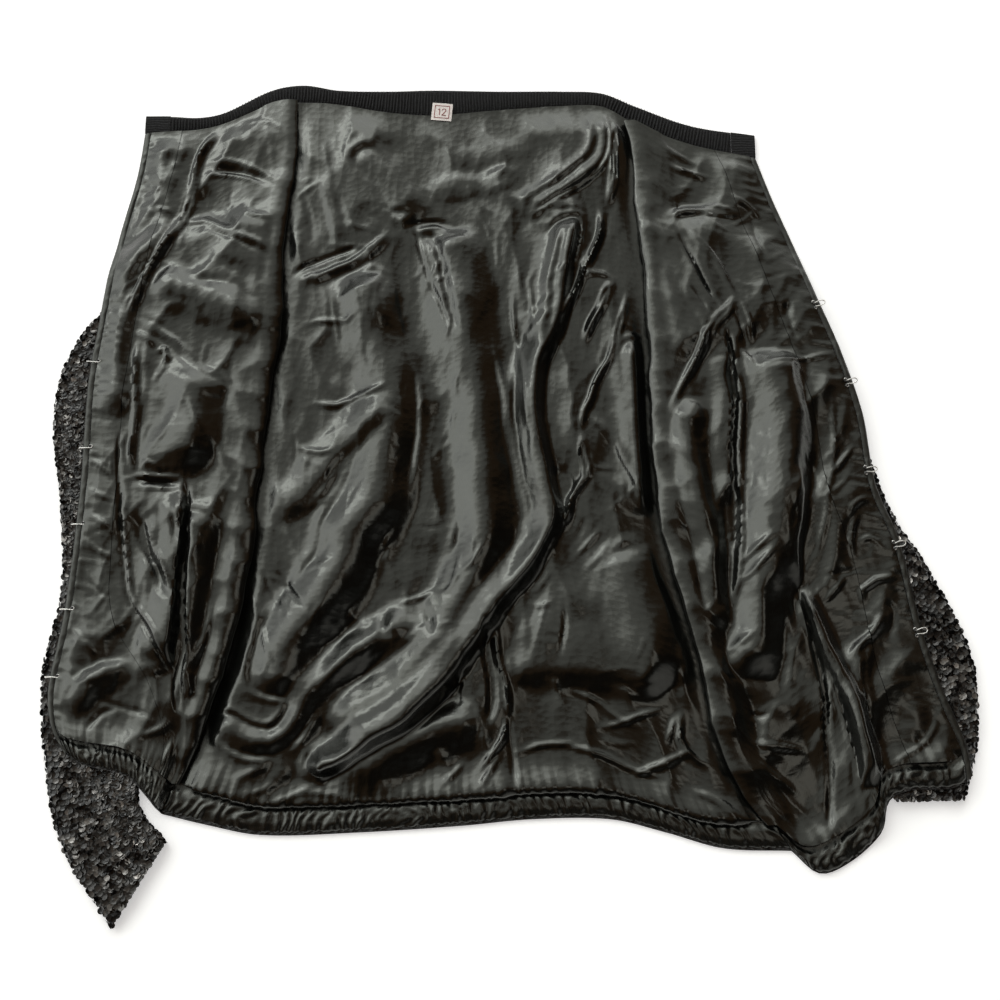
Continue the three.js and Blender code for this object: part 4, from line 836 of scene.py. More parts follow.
@dataclass
class Panel:
    """A four-sided cloth panel; u runs across it and v from hem to neck."""

    hem: Run
    neck: Run
    side_a: Track
    side_b: Track

    def at(self, u: Array, v: Array) -> Array:
        """Places in the plane at shares u and v.

        Args:
            u: Shares across.
            v: Shares up.

        Returns:
            The places.
        """
        u, v = np.broadcast_arrays(np.asarray(u, float), np.asarray(v, float))
        across, up = u[..., None], v[..., None]
        ends = np.array([0.0, 1.0])
        low, high = (mix(*edge(ends)[:, :2], across) for edge in (self.hem, self.neck))
        sides = mix(self.side_a.at(v)[..., :2], self.side_b.at(v)[..., :2], across)
        rails = mix(self.hem(u)[..., :2], self.neck(u)[..., :2], up)
        return sides + rails - mix(low, high, up)

    def width(self, v: Array) -> Array:
        """Straight width of the panel at a height v."""
        return np.linalg.norm(self.side_a.at(v)[..., :2] - self.side_b.at(v)[..., :2], axis=-1)

    def height(self, u: float) -> float:
        """Straight height of the panel at a share u."""
        t = np.array([u])
        return float(np.linalg.norm(self.hem(t)[0, :2] - self.neck(t)[0, :2]))


def fades(distance: Array, reach: float) -> Array:
    """Share that falls from 1 at a seam to almost nothing a few reaches away from it."""
    return np.exp(-distance / reach)


def gathers(across: Array, shift: Array) -> Array:
    """Rise of gathers, from 0 to 1; across counts them and shift makes them uneven."""
    return 0.5 + 0.5 * np.cos(2 * math.pi * (across + shift))


def level(flat: Array) -> Array:
    """Places in the plane, given a height of 0."""
    return np.concatenate([flat, np.zeros(flat.shape[:-1] + (1,))], axis=-1)


def neck_run(from_x: float, to_x: float) -> Run:
    """Track along the neckline between two x."""

    def run(t: Array) -> Array:
        """Points of the neckline at shares of the run."""
        x = mix(from_x, to_x, np.asarray(t, float))
        return np.stack([x, neck_y(x)], axis=-1)

    return run


# Meshes


def grid_quads(number: Array) -> Array:
    """Faces of four corners between the rows and columns of a grid of vertex numbers."""
    corners = (number[:-1, :-1], number[:-1, 1:], number[1:, 1:], number[1:, :-1])
    return np.stack(corners, axis=-1).reshape(-1, 4)


def grid_rim(number: Array) -> Array:
    """The rim of a grid of vertex numbers, once round."""
    return np.concatenate([number[0, :-1], number[:-1, -1], number[-1, :0:-1], number[:0:-1, 0]])


def grid_normals(points: Array) -> Array:
    """Unit normals of a grid of points, turned to the side that mostly faces up.

    Args:
        points: Places, one row each.

    Returns:
        A normal for each point.
    """
    across = np.gradient(points, axis=1)
    along = np.gradient(points, axis=0)
    normal = np.cross(across, along)
    normal /= np.maximum(np.linalg.norm(normal, axis=-1, keepdims=True), 1e-9)
    return normal if normal[..., 2].mean() >= 0 else -normal


@dataclass
class Stock:
    """Vertices, faces and cloth coordinates, in millimetres, collected for one mesh."""

    points: list = field(default_factory=list)
    faces: list = field(default_factory=list)
    cloth: list = field(default_factory=list)
    count: int = 0

    def add(self, points: Array, faces: Array, cloth: Optional[Array] = None) -> None:
        """Add one run of vertices with its faces, which all have the same number of corners.

        Args:
            points: Places, one row each.
            faces: Corners of each face.
            cloth: Cloth coordinates.
        """
        flat = points.reshape(-1, 3)
        if cloth is None:
            cloth = flat[:, :2]
        self.points.append(flat)
        self.cloth.append(cloth.reshape(-1, 2))
        self.faces += (np.asarray(faces) + self.count).tolist()
        self.count += len(flat)

    def add_mixed(self, points: Array, faces: Sequence[Sequence[int]], cloth: Optional[Array] = None) -> None:
        """Add one run of vertices whose faces have different numbers of corners.

        Args:
            points: Places, one row each.
            faces: Corners of each face.
            cloth: Cloth coordinates.
        """
        base = self.count
        self.add(points, np.zeros((0, 4), int), cloth)
        self.faces += [[k + base for k in face] for face in faces]

    def wall(self, top: Array, bottom: Array, cloth: Array) -> None:
        """Add a closed wall between two grids of the same size.

        Args:
            top: Grid of the upper side.
            bottom: Grid of the underside.
            cloth: Cloth coordinates.
        """
        rows, columns = top.shape[:2]
        number = np.arange(rows * columns).reshape(rows, columns)
        upper, lower = number, number + rows * columns
        a, b = grid_rim(upper), grid_rim(lower)
        walls = np.stack([np.roll(a, -1), a, b, np.roll(b, -1)], axis=-1)
        points = np.concatenate([top.reshape(-1, 3), bottom.reshape(-1, 3)])
        both = np.concatenate([cloth.reshape(-1, 2)] * 2)
        faces = np.concatenate([grid_quads(upper), grid_quads(lower)[:, ::-1], walls])
        self.add(points, faces if volume_of(points, faces) > 0 else faces[:, ::-1], both)

    def coarse_wall(self, top: Array, cloth: Array, wall: float, least: float, step: int = 3) -> None:
        """Add a closed wall whose underside, which lies on another layer, has larger faces.

        Args:
            top: Grid of the upper side; rows and columns less one are whole multiples of step.
            cloth: Its cloth coordinates.
            wall: Thickness.
            least: Height below which the underside never goes.
            step: Upper faces to one lower face, each way.
        """
        rows, columns = top.shape[:2]
        number = np.arange(rows * columns).reshape(rows, columns)
        reach = 2 * step + 1
        padded = np.pad(top[..., 2], step, mode="edge")
        lowest = np.lib.stride_tricks.sliding_window_view(padded, (reach, reach)).min(axis=(2, 3))
        lower = top[::step, ::step].copy()
        lower[..., 2] = np.maximum(lowest[::step, ::step] - wall, least)
        under = np.arange(lower.shape[0] * lower.shape[1]).reshape(lower.shape[:2]) + rows * columns
        outer, inner = grid_rim(number), grid_rim(under)
        faces = grid_quads(number).tolist() + grid_quads(under)[:, ::-1].tolist()
        for k in range(len(inner)):
            run = outer[(k * step + np.arange(step + 1)) % len(outer)]
            faces.append([*run[::-1].tolist(), int(inner[k]), int(inner[(k + 1) % len(inner)])])
        if grid_winding(top) < 0:
            faces = [face[::-1] for face in faces]
        points = np.concatenate([top.reshape(-1, 3), lower.reshape(-1, 3)])
        both = np.concatenate([cloth.reshape(-1, 2), cloth[::step, ::step].reshape(-1, 2)])
        self.add_mixed(points, faces, both)

    def build(self, name: str, material: bpy.types.Material, sharp: float = 55.0) -> bpy.types.Object:
        """Make the object.

        Args:
            name: The piece's name.
            material: Its finish.
            sharp: Angle in degrees over which an edge stays sharp.

        Returns:
            An object at the origin whose mesh holds its place.
        """
        points = (np.concatenate(self.points) - OUTLINE_CENTRE) * MM
        mesh = bpy.data.meshes.new(name)
        mesh.from_pydata(points.tolist(), [], self.faces)
        corners = np.fromiter((k for face in self.faces for k in face), int)
        layer = mesh.uv_layers.new(name="cloth")
        layer.data.foreach_set("uv", (np.concatenate(self.cloth) * MM)[corners].ravel())
        mesh.shade_smooth()
        mesh.set_sharp_from_angle(angle=math.radians(sharp))
        mesh.materials.append(material)
        made = bpy.data.objects.new(name, mesh)
        bpy.context.scene.collection.objects.link(made)
        return made


def grid_winding(grid: Array) -> float:
    """Positive when the rows and columns of a grid run so that its faces look up.

    Args:
        grid: The grid of points.

    Returns:
        A number whose sign tells the winding.
    """
    across, along = grid[:, -1] - grid[:, 0], grid[-1] - grid[0]
    a, b = across.mean(axis=0), along.mean(axis=0)
    return float(a[0] * b[1] - a[1] * b[0])


def volume_of(points: Array, faces: Array) -> float:
    """Six times the volume inside faces of four corners, positive when they face outwards."""
    a, b, c, d = (points[faces[:, k]] for k in range(4))
    return float((np.cross(a, b) * c).sum() + (np.cross(a, c) * d).sum())


def cloth_piece(name: str, middle: Array, wall: float, cloth: Array,
                material: bpy.types.Material) -> bpy.types.Object:
    """Closed cloth wall of even thickness about a middle surface.

    Args:
        name: The piece's name.
        middle: Grid of the middle surface.
        wall: Thickness.
        cloth: Cloth coordinates.
        material: Its finish.

    Returns:
        The piece.
    """
    normal = grid_normals(middle)
    stock = Stock()
    stock.wall(middle + normal * wall / 2, middle - normal * wall / 2, cloth)
    return stock.build(name, material)


def wire_stock(stock: Stock, path: Array, radius: float, sides: int = 8) -> None:
    """Add a round wire along a path, closed at both ends, to a stock.

    Args:
        stock: The stock to add to.
        path: Points along the middle.
        radius: Radius of the wire.
        sides: Faces round it.
    """
    step = np.gradient(path, axis=0)
    step /= np.linalg.norm(step, axis=1, keepdims=True)
    reference = np.array([0.0, 0.0, 1.0])
    side = np.cross(step, reference)
    weak = np.linalg.norm(side, axis=1) < 0.3
    side[weak] = np.cross(step[weak], np.array([0.6, 0.8, 0.0]))
    for i in range(1, len(side)):
        across = side[i - 1] - step[i] * (side[i - 1] @ step[i])
        side[i] = across
    side /= np.linalg.norm(side, axis=1, keepdims=True)
    third = np.cross(step, side)
    angle = np.linspace(0.0, 2 * math.pi, sides, endpoint=False)
    ring = side[:, None] * np.cos(angle)[None, :, None] + third[:, None] * np.sin(angle)[None, :, None]
    body = path[:, None] + ring * radius
    cap_a, cap_b = path[:1] - step[:1] * radius * 0.6, path[-1:] + step[-1:] * radius * 0.6
    rows = len(path)
    number = np.arange(rows * sides).reshape(rows, sides)
    after = np.roll(number, -1, axis=1)
    quads = np.stack([number[:-1], number[1:], after[1:], after[:-1]], axis=-1).reshape(-1, 4)
    points = np.concatenate([body.reshape(-1, 3), cap_a, cap_b])
    first, last = rows * sides, rows * sides + 1
    ends = [[after[0, k], number[0, k], first] for k in range(sides)]
    ends += [[number[-1, k], after[-1, k], last] for k in range(sides)]
    if volume_of(points, quads) > 0:
        faces = quads.tolist() + [e[::-1] for e in ends]
    else:
        faces = quads[:, ::-1].tolist() + ends
    stock.add_mixed(points, faces)


def tucked(top: Array, cloth: Array, out: Array, low: float) -> Tuple[Array, Array]:
    """Grid with its first row turned outwards and under, so that the cloth pouches over its seam.

    Args:
        top: Grid of points; the first row is the edge to turn.
        cloth: Its cloth coordinates.
        out: Way in the plane in which the edge bulges.
        low: Height to which it returns.

    Returns:
        The longer grid and its cloth coordinates.
    """
    angles = np.radians([-88, -58, -30, 0, 30, 58])
    edge = top[0]
    radius = np.maximum(edge[:, 2] - low, 0.2) / 2
    rows = []
    for angle in angles:
        row = edge.copy()
        row[:, :2] += out * (1.25 * radius * math.cos(angle))[:, None]
        row[:, 2] += radius * (math.sin(angle) - 1)
        rows.append(row)
    length = np.linalg.norm(np.diff(np.array([*rows, edge]), axis=0), axis=2)
    back = np.cumsum(length[::-1], axis=0)[::-1]
    turned = np.stack([np.broadcast_to(cloth[0, :, 0], back.shape), cloth[0, :, 1] - back], axis=-1)
    return np.concatenate([np.array(rows), top]), np.concatenate([turned, cloth])


# Finishes


class Shader:
    """A material under construction."""

    def __init__(self, name: str) -> None:
        """Start a material with its principled shader."""
        self.material = bpy.data.materials.new(name)
        self.material.use_nodes = True
        self.tree = self.material.node_tree
        self.body = self.tree.nodes["Principled BSDF"]

    def add(self, kind: str, **values: object) -> bpy.types.Node:
        """Add a node; values name its sockets, with _ for a space, or its own properties.

        Args:
            kind: The node's type.
            values: Values of its sockets or properties.

        Returns:
            The node.
        """
        node = self.tree.nodes.new(kind)
        for key, value in values.items():
            socket = node.inputs.get(key.replace("_", " "))
            if socket is not None:
                socket.default_value = value
            else:
                setattr(node, key, value)
        return node

    def set(self, **values: object) -> None:
        """Set constants on the principled shader's own sockets."""
        for key, value in values.items():
            self.body.inputs[key.replace("_", " ")].default_value = value

    def link(self, source: bpy.types.NodeSocket, target: bpy.types.NodeSocket) -> None:
        """Join two sockets."""
        self.tree.links.new(source, target)

    def stretched(self, coordinates: str, scale: Tuple[float, float, float]) -> bpy.types.NodeSocket:
        """Coordinates, Object or UV, times a scale in each direction.

        Args:
            coordinates: Which coordinates.
            scale: The scale.

        Returns:
            The stretched coordinates.
        """
        source = self.add("ShaderNodeTexCoord")
        mapping = self.add("ShaderNodeMapping", Scale=scale)
        self.link(source.outputs[coordinates], mapping.inputs["Vector"])
        return mapping.outputs["Vector"]

    def noise(self, vector: bpy.types.NodeSocket, scale: float, detail: float = 2.0) -> bpy.types.NodeSocket:
        """Noise on a vector; returns its factor."""
        node = self.add("ShaderNodeTexNoise", Scale=scale, Detail=detail, Roughness=0.55)
        self.link(vector, node.inputs["Vector"])
        return node.outputs["Fac"]

    def span(self, source: bpy.types.NodeSocket, low: float, high: float) -> bpy.types.NodeSocket:
        """A factor brought from 0.3 to 0.7 into low to high.

        Args:
            source: The factor.
            low: Value at the low end.
            high: Value at the high end.

        Returns:
            The new factor.
        """
        node = self.add("ShaderNodeMapRange")
        for key, value in (("From Min", 0.3), ("From Max", 0.7), ("To Min", low), ("To Max", high)):
            node.inputs[key].default_value = value
        self.link(source, node.inputs["Value"])
        return node.outputs["Result"]

    def colours(self, factor: bpy.types.NodeSocket, first: Colour, second: Colour) -> bpy.types.NodeSocket:
        """A colour between two by a factor.

        Args:
            factor: The factor.
            first: Colour at 0.
            second: Colour at 1.

        Returns:
            The colour.
        """
        node = self.add("ShaderNodeMix", data_type="RGBA")
        for name, colour in (("A", first), ("B", second)):
            socket = [s for s in node.inputs if s.name == name and s.type == "RGBA"][0]
            socket.default_value = (*colour, 1)
        self.link(factor, node.inputs["Factor"])
        return [s for s in node.outputs if s.type == "RGBA"][0]

    def dye(self, factor: bpy.types.NodeSocket, first: Colour, second: Colour) -> None:
        """Colour the surface between two colours by a factor."""
        self.link(self.colours(factor, first, second), self.body.inputs["Base Color"])

    def bump(self, height: bpy.types.NodeSocket, distance: float, strength: float) -> None:
        """Add one layer of relief over those before it; distance is in millimetres.

        Args:
            height: Height of the relief, 0 to 1.
            distance: Depth.
            strength: Share that is used.
        """
        node = self.add("ShaderNodeBump", Distance=distance * MM, Strength=strength)
        self.link(height, node.inputs["Height"])
        before = self.body.inputs["Normal"]
        if before.is_linked:
            self.link(before.links[0].from_socket, node.inputs["Normal"])
        self.link(node.outputs["Normal"], before)


@dataclass(frozen=True)
class Satin:
    """Lining satin: warp floats that streak the light, slight rumples, an uneven dark dye."""

    name: str
    dark: Colour = (0.0010, 0.0011, 0.0009)
    light: Colour = (0.0034, 0.0036, 0.0030)
    gloss: Tuple[float, float] = (0.15, 0.23)
    streak: float = 0.3
    patches: float = 26.0
    floats: Tuple[float, float, float] = (2600.0, 70.0, 1.0)
    rumples: Tuple[Tuple[Tuple[float, float, float], float], ...] = (
        ((62.0, 27.0, 1.0), 0.7), ((130.0, 190.0, 1.0), 0.24),
    )
    grain: float = 620.0
    twill: float = 320.0

    def material(self) -> bpy.types.Material:
        """Make the finish."""
        s = Shader(self.name)
        s.set(IOR=1.55, Anisotropic=0.3, Sheen_Weight=0.02, Sheen_Roughness=0.4, Specular_IOR_Level=0.62)
        s.body.inputs["Specular Tint"].default_value = (0.98, 1.0, 0.93, 1)
        place = s.stretched("Object", (1, 1, 1))
        s.dye(s.span(s.noise(place, self.patches, 3), 0, 1), self.dark, self.light)
        floats = s.stretched("UV", self.floats)
        s.link(s.span(s.noise(floats, 1.0, 2), *self.gloss), s.body.inputs["Roughness"])
        for cells, deep in self.rumples:
            facets = s.add("ShaderNodeTexVoronoi", feature="F1", voronoi_dimensions="2D", Scale=1.0)
            s.link(s.stretched("UV", cells), facets.inputs["Vector"])
            s.bump(facets.outputs["Distance"], deep, 0.6)
        s.bump(s.noise(floats, 1.0, 1), 0.06, self.streak)
        s.bump(s.noise(place, self.grain, 2), 0.04, 0.3)
        weave = s.add("ShaderNodeTexWave", wave_type="BANDS", bands_direction="DIAGONAL", Scale=self.twill)
        weave.inputs["Distortion"].default_value = 0.6
        s.link(s.stretched("UV", (1, 0.7, 1)), weave.inputs["Vector"])
        s.bump(weave.outputs["Fac"], 0.02, 0.25)
        tangent = s.add("ShaderNodeTangent", direction_type="UV_MAP", uv_map="cloth")
        s.link(tangent.outputs["Tangent"], s.body.inputs["Tangent"])
        return s.material


@dataclass(frozen=True)
class SequinFoil:
    """Plastic foil of the sequins, near black; a value kept on each one gives a few of them a light colour, a
    painted glint.
    """

    name: str = "sequin foil"
    dark: Colour = (0.001, 0.001, 0.0012)
    # Light colour of the few painted glints, standing in for the lamp light that those sequins catch.
    bright: Colour = (0.62, 0.58, 0.54)

    def material(self) -> bpy.types.Material:
        """Make the finish."""
        s = Shader(self.name)
        s.set(Metallic=0.4, Roughness=0.14, IOR=1.5, Specular_IOR_Level=0.35)
        s.set(Coat_Weight=0.25, Coat_Roughness=0.04)
        # The value kept on each sequin mixes near black with the painted glint colour.
        tone = s.add("ShaderNodeAttribute", attribute_name="tone")
        s.dye(tone.outputs["Fac"], self.dark, self.bright)
        s.bump(s.noise(s.stretched("Object", (1, 1, 1)), 900, 2), 0.06, 0.4)
        return s.material


@dataclass(frozen=True)
class SequinGround:
    """Outer cloth closely sewn with sequins, as relief for the faces that lie down or between layers."""

    name: str = "sequin ground"
    gaps: Colour = (0.012, 0.012, 0.014)
    discs: Colour = (0.003, 0.003, 0.003)

    def material(self) -> bpy.types.Material:
        """Make the finish."""
        s = Shader(self.name)
        s.set(Metallic=0.15, IOR=1.5, Specular_IOR_Level=0.6)
        cells = s.add("ShaderNodeTexVoronoi", feature="F1", Scale=270.0)
        s.link(s.stretched("Object", (1, 1, 1)), cells.inputs["Vector"])
        s.dye(cells.outputs["Distance"], self.gaps, self.discs)
        s.link(s.span(cells.outputs["Color"], 0.16, 0.5), s.body.inputs["Roughness"])
        s.bump(cells.outputs["Distance"], 0.8, 0.8)
        s.bump(cells.outputs["Color"], 0.25, 0.6)
        return s.material


@dataclass(frozen=True)
class Knit:
    """Matt rib yarn with the small loops of the knit."""

    name: str = "rib yarn"
    dark: Colour = (0.004, 0.004, 0.0042)
    light: Colour = (0.024, 0.024, 0.0255)

    def material(self) -> bpy.types.Material:
        """Make the finish."""
        s = Shader(self.name)
        s.set(Roughness=0.86, Sheen_Weight=0.1, Sheen_Roughness=0.4, Specular_IOR_Level=0.2)
        fuzz = s.noise(s.stretched("Object", (1, 1, 1)), 700, 3)
        s.dye(s.span(fuzz, 0, 1), self.dark, self.light)
        loops = s.add("ShaderNodeTexWave", wave_type="BANDS", bands_direction="Y", Scale=130.0)
        loops.inputs["Distortion"].default_value = 2.4
        loops.inputs["Detail"].default_value = 1.0
        s.link(s.stretched("UV", (1, 1, 1)), loops.inputs["Vector"])
        s.bump(loops.outputs["Fac"], 0.35, 0.7)
        s.bump(fuzz, 0.15, 0.6)
        return s.material


@dataclass(frozen=True)
class Plated:
    """Plated wire of the hooks and eyes, rubbed unevenly."""

    name: str = "plated wire"
    dull: Colour = (0.52, 0.51, 0.49)
    bright: Colour = (0.78, 0.77, 0.74)

    def material(self) -> bpy.types.Material:
        """Make the finish."""
        s = Shader(self.name)
        s.set(Metallic=1.0)
        rub = s.noise(s.stretched("Object", (1, 1, 1)), 800, 3)
        s.dye(s.span(rub, 0, 1), self.dull, self.bright)
        s.link(s.span(rub, 0.2, 0.38), s.body.inputs["Roughness"])
        return s.material


@dataclass(frozen=True)
class Thread:
    """Spun sewing thread."""

    name: str
    colour: Colour

    def material(self) -> bpy.types.Material:
        """Make the finish."""
        s = Shader(self.name)
        s.set(Roughness=0.6, Sheen_Weight=0.2)
        twist = s.noise(s.stretched("Object", (1, 1, 1)), 2400, 2)
        darker = tuple(c * 0.55 for c in self.colour)
        s.dye(s.span(twist, 0, 1), darker, self.colour)
        s.bump(twist, 0.05, 0.6)
        return s.material


@dataclass(frozen=True)
class Taffeta:
    """Plain woven ribbon of the size tag."""

    name: str
    colour: Colour

    def material(self) -> bpy.types.Material:
        """Make the finish."""
        s = Shader(self.name)
        s.set(Roughness=0.75, Sheen_Weight=0.15)
        weave = s.add("ShaderNodeTexBrick", Scale=1400.0)
        for name, shade in (("Color1", 1.0), ("Color2", 0.86), ("Mortar", 0.6)):
            weave.inputs[name].default_value = (*(c * shade for c in self.colour), 1)
        s.link(s.stretched("Object", (1, 1, 1)), weave.inputs["Vector"])
        s.link(weave.outputs["Color"], s.body.inputs["Base Color"])
        s.bump(weave.outputs["Fac"], 0.06, 0.5)
        return s.material


# Repeated shapes, made by Geometry Nodes


class Unit(Enum):
    """Shape that a scatter repeats at each point."""

    SEQUIN = "cupped disc"
    STITCH = "thread bead"
    RIB = "knitted rib"


@dataclass(frozen=True)
class Scatter:
    """Geometry Nodes tree that sets one small shape on every point of a mesh.

    The points carry "turn", an Euler angle, and "size", a scale in three directions.
    """

    unit: Unit
    width: float
    height: float
    length: float
    sides: int = 7
    rings: int = 1
    tilt: float = 0.0
    seed: int = 1
    cup_floor: float = 0.42

    def tree(self) -> bpy.types.NodeTree:
        """Build the tree with named inputs for its sizes."""
        tree = bpy.data.node_groups.new(f"{self.unit.value} scatter", "GeometryNodeTree")
        face = tree.interface
        face.new_socket("Geometry", in_out="INPUT", socket_type="NodeSocketGeometry")
        for name in ("Width", "Height", "Length", "Tilt"):
            face.new_socket(name, in_out="INPUT", socket_type="NodeSocketFloat")
        for name in ("Sides", "Rings", "Seed"):
            face.new_socket(name, in_out="INPUT", socket_type="NodeSocketInt")
        face.new_socket("Finish", in_out="INPUT", socket_type="NodeSocketMaterial")
        face.new_socket("Geometry", in_out="OUTPUT", socket_type="NodeSocketGeometry")
        new = tree.nodes.new
        link = tree.links.new
        given = new("NodeGroupInput").outputs
        shape = self.shape(tree, given)
        kept = {}
        for name in ("turn", "size"):
            node = new("GeometryNodeInputNamedAttribute")
            node.data_type = "FLOAT_VECTOR"
            node.inputs["Name"].default_value = name
            kept[name] = node.outputs["Attribute"]
        base = new("FunctionNodeEulerToRotation")
        link(kept["turn"], base.inputs["Euler"])
        sway = new("FunctionNodeRandomValue")
        sway.data_type = "FLOAT_VECTOR"
        for limit, source in (("Min", self.times(tree, given["Tilt"], -1.0)), ("Max", given["Tilt"])):
            vector = new("ShaderNodeCombineXYZ")
            for axis in ("X", "Y"):
                link(source, vector.inputs[axis])
            link(vector.outputs[0], [s for s in sway.inputs if s.name == limit and s.type == "VECTOR"][0])
        link(given["Seed"], sway.inputs["Seed"])
        wobble = new("FunctionNodeEulerToRotation")
        link([s for s in sway.outputs if s.type == "VECTOR"][0], wobble.inputs["Euler"])
        rotation = new("FunctionNodeRotateRotation")
        rotation.rotation_space = "LOCAL"
        link(base.outputs["Rotation"], rotation.inputs["Rotation"])
        link(wobble.outputs["Rotation"], rotation.inputs["Rotate By"])
        place = new("GeometryNodeInstanceOnPoints")
        link(given["Geometry"], place.inputs["Points"])
        link(shape, place.inputs["Instance"])
        link(rotation.outputs["Rotation"], place.inputs["Rotation"])
        link(kept["size"], place.inputs["Scale"])
        real = new("GeometryNodeRealizeInstances")
        link(place.outputs["Instances"], real.inputs["Geometry"])
        finish = new("GeometryNodeSetMaterial")
        link(real.outputs["Geometry"], finish.inputs["Geometry"])
        link(given["Finish"], finish.inputs["Material"])
        link(finish.outputs["Geometry"], new("NodeGroupOutput").inputs[0])
        return tree

    def times(self, tree: bpy.types.NodeTree, source: bpy.types.NodeSocket,
              factor: float) -> bpy.types.NodeSocket:
        """A number times a factor.

        Args:
            tree: The tree to add nodes to.
            source: The number.
            factor: The factor.

        Returns:
            The product.
        """
        node = tree.nodes.new("ShaderNodeMath")
        node.operation = "MULTIPLY"
        node.inputs[1].default_value = factor
        tree.links.new(source, node.inputs[0])
        return node.outputs[0]

    def shape(self, tree: bpy.types.NodeTree, given: bpy.types.bpy_prop_collection) -> bpy.types.NodeSocket:
        """The one shape, about the origin: a shallow cup, or an ellipsoid.

        Args:
            tree: The tree to add nodes to.
            given: The tree's inputs.

        Returns:
            The shape's geometry.
        """
        new = tree.nodes.new
        link = tree.links.new
        if self.unit is Unit.SEQUIN:
            cup = new("GeometryNodeMeshCone")
            cup.fill_type = "NGON"
            half = self.times(tree, given["Width"], 0.5)
            link(given["Sides"], cup.inputs["Vertices"])
            link(half, cup.inputs["Radius Top"])
            link(self.times(tree, half, self.cup_floor), cup.inputs["Radius Bottom"])
            link(given["Height"], cup.inputs["Depth"])
            open_top = new("GeometryNodeDeleteGeometry")
            open_top.domain = "FACE"
            link(cup.outputs["Mesh"], open_top.inputs["Geometry"])
            link(cup.outputs["Top"], open_top.inputs["Selection"])
            return open_top.outputs["Geometry"]
        ball = new("GeometryNodeMeshUVSphere")
        link(given["Sides"], ball.inputs["Segments"])
        link(given["Rings"], ball.inputs["Rings"])
        ball.inputs["Radius"].default_value = 1.0
        scale = new("ShaderNodeCombineXYZ")
        for axis, name in (("X", "Length"), ("Y", "Width"), ("Z", "Height")):
            link(self.times(tree, given[name], 0.5), scale.inputs[axis])
        stretch = new("GeometryNodeTransform")
        link(ball.outputs["Mesh"], stretch.inputs["Geometry"])
        link(scale.outputs[0], stretch.inputs["Scale"])
        rounded = new("GeometryNodeSetShadeSmooth")
        link(stretch.outputs["Geometry"], rounded.inputs["Geometry"])
        return rounded.outputs["Geometry"]

    def build(self, name: str, points: Array, turns: Array, sizes: Array, material: bpy.types.Material,
              glint_tones: Optional[Array] = None) -> bpy.types.Object:
        """Repeat the shape at points and return the result as one plain mesh.

        Args:
            name: The piece's name.
            points: Places in millimetres.
            turns: Euler angles.
            sizes: Scales in three directions.
            material: The finish.
            glint_tones: A value from 0 to 1 for each shape, kept for the finish.

        Returns:
            An object at the origin whose mesh holds its place.
        """
        mesh = bpy.data.meshes.new(name)
        mesh.from_pydata(((points - OUTLINE_CENTRE) * MM).tolist(), [], [])
        for label, values in (("turn", turns), ("size", sizes)):
            layer = mesh.attributes.new(label, "FLOAT_VECTOR", "POINT")
            layer.data.foreach_set("vector", np.asarray(values, np.float32).ravel())
        # Kept on sequins only: the share of the painted glint colour on each one.
        if glint_tones is not None:
            layer = mesh.attributes.new("tone", "FLOAT", "POINT")
            layer.data.foreach_set("value", np.asarray(glint_tones, np.float32))
        made = bpy.data.objects.new(name, mesh)
        bpy.context.scene.collection.objects.link(made)
        modifier = made.modifiers.new("scatter", "NODES")
        modifier.node_group = self.tree()
        values = {"Width": self.width * MM, "Height": self.height * MM, "Length": self.length * MM,
                  "Tilt": self.tilt, "Sides": self.sides, "Rings": self.rings, "Seed": self.seed,
                  "Finish": material}
        for item in modifier.node_group.interface.items_tree:
            if item.item_type == "SOCKET" and item.in_out == "INPUT" and item.name in values:
                modifier[item.identifier] = values[item.name]
        graph = bpy.context.evaluated_depsgraph_get()
        result = bpy.data.meshes.new_from_object(made.evaluated_get(graph), preserve_all_data_layers=True,
                                                 depsgraph=graph)
        made.modifiers.remove(modifier)
        made.data = result
        result.name = name
        for label in ("turn", "size"):
            if label in result.attributes:
                result.attributes.remove(result.attributes[label])
        bpy.data.meshes.remove(mesh)
        return made


def turns_from(normal: Array, along: Array) -> Array:
    """Euler angles that turn +Z to a normal and +X as near as it goes to a direction.

    Args:
        normal: Unit normals, one row each.
        along: Directions for +X.

    Returns:
        XYZ Euler angles.
    """
    third = normal / np.linalg.norm(normal, axis=1, keepdims=True)
    first = along - third * (along * third).sum(axis=1, keepdims=True)
    first /= np.maximum(np.linalg.norm(first, axis=1, keepdims=True), 1e-9)
    second = np.cross(third, first)
    return np.stack([
        np.arctan2(second[:, 2], third[:, 2]),
        np.arcsin(np.clip(-first[:, 2], -1.0, 1.0)),
        np.arctan2(first[:, 1], first[:, 0]),
    ], axis=1)


@dataclass(frozen=True)
class SequinRows:
    """Sequins sewn close together on a surface."""

    width: float = 5.2
    depth: float = 0.3
    pitch: float = 3.3
    tilt: float = 0.34
    stray: float = 0.28
    scale: Tuple[float, float] = (0.86, 1.12)
    sides: int = 9
    seed: int = 3

    def cover(self, name: str, places: Array, normals: Array, finish: bpy.types.Material) -> bpy.types.Object:
        """Set a sequin at each place, lying on its normal with a random tilt.

        Args:
            name: The piece's name.
            places: Where they are sewn.
            normals: Which way each faces.
            finish: Its finish.

        Returns:
            The sequins as one piece.
        """
        rng = np.random.default_rng(self.seed)
        count = len(places)
        heading = rng.uniform(0, 2 * math.pi, count)
        along = np.stack([np.cos(heading), np.sin(heading), np.zeros(count)], axis=1)
        scale = rng.uniform(*self.scale, count)
        # Most sequins get a value near 0; the few high ones carry the painted glint colour.
        glint_tones = np.clip(rng.exponential(0.06, count) ** 1.3 * 2.0, 0.0, 1.0)
        scatter = Scatter(Unit.SEQUIN, self.width, self.depth, self.width, sides=self.sides, tilt=self.tilt,
                          seed=self.seed)
        sizes = np.stack([scale] * 3, axis=1)
        return scatter.build(name, places, turns_from(normals, along), sizes, finish, glint_tones)


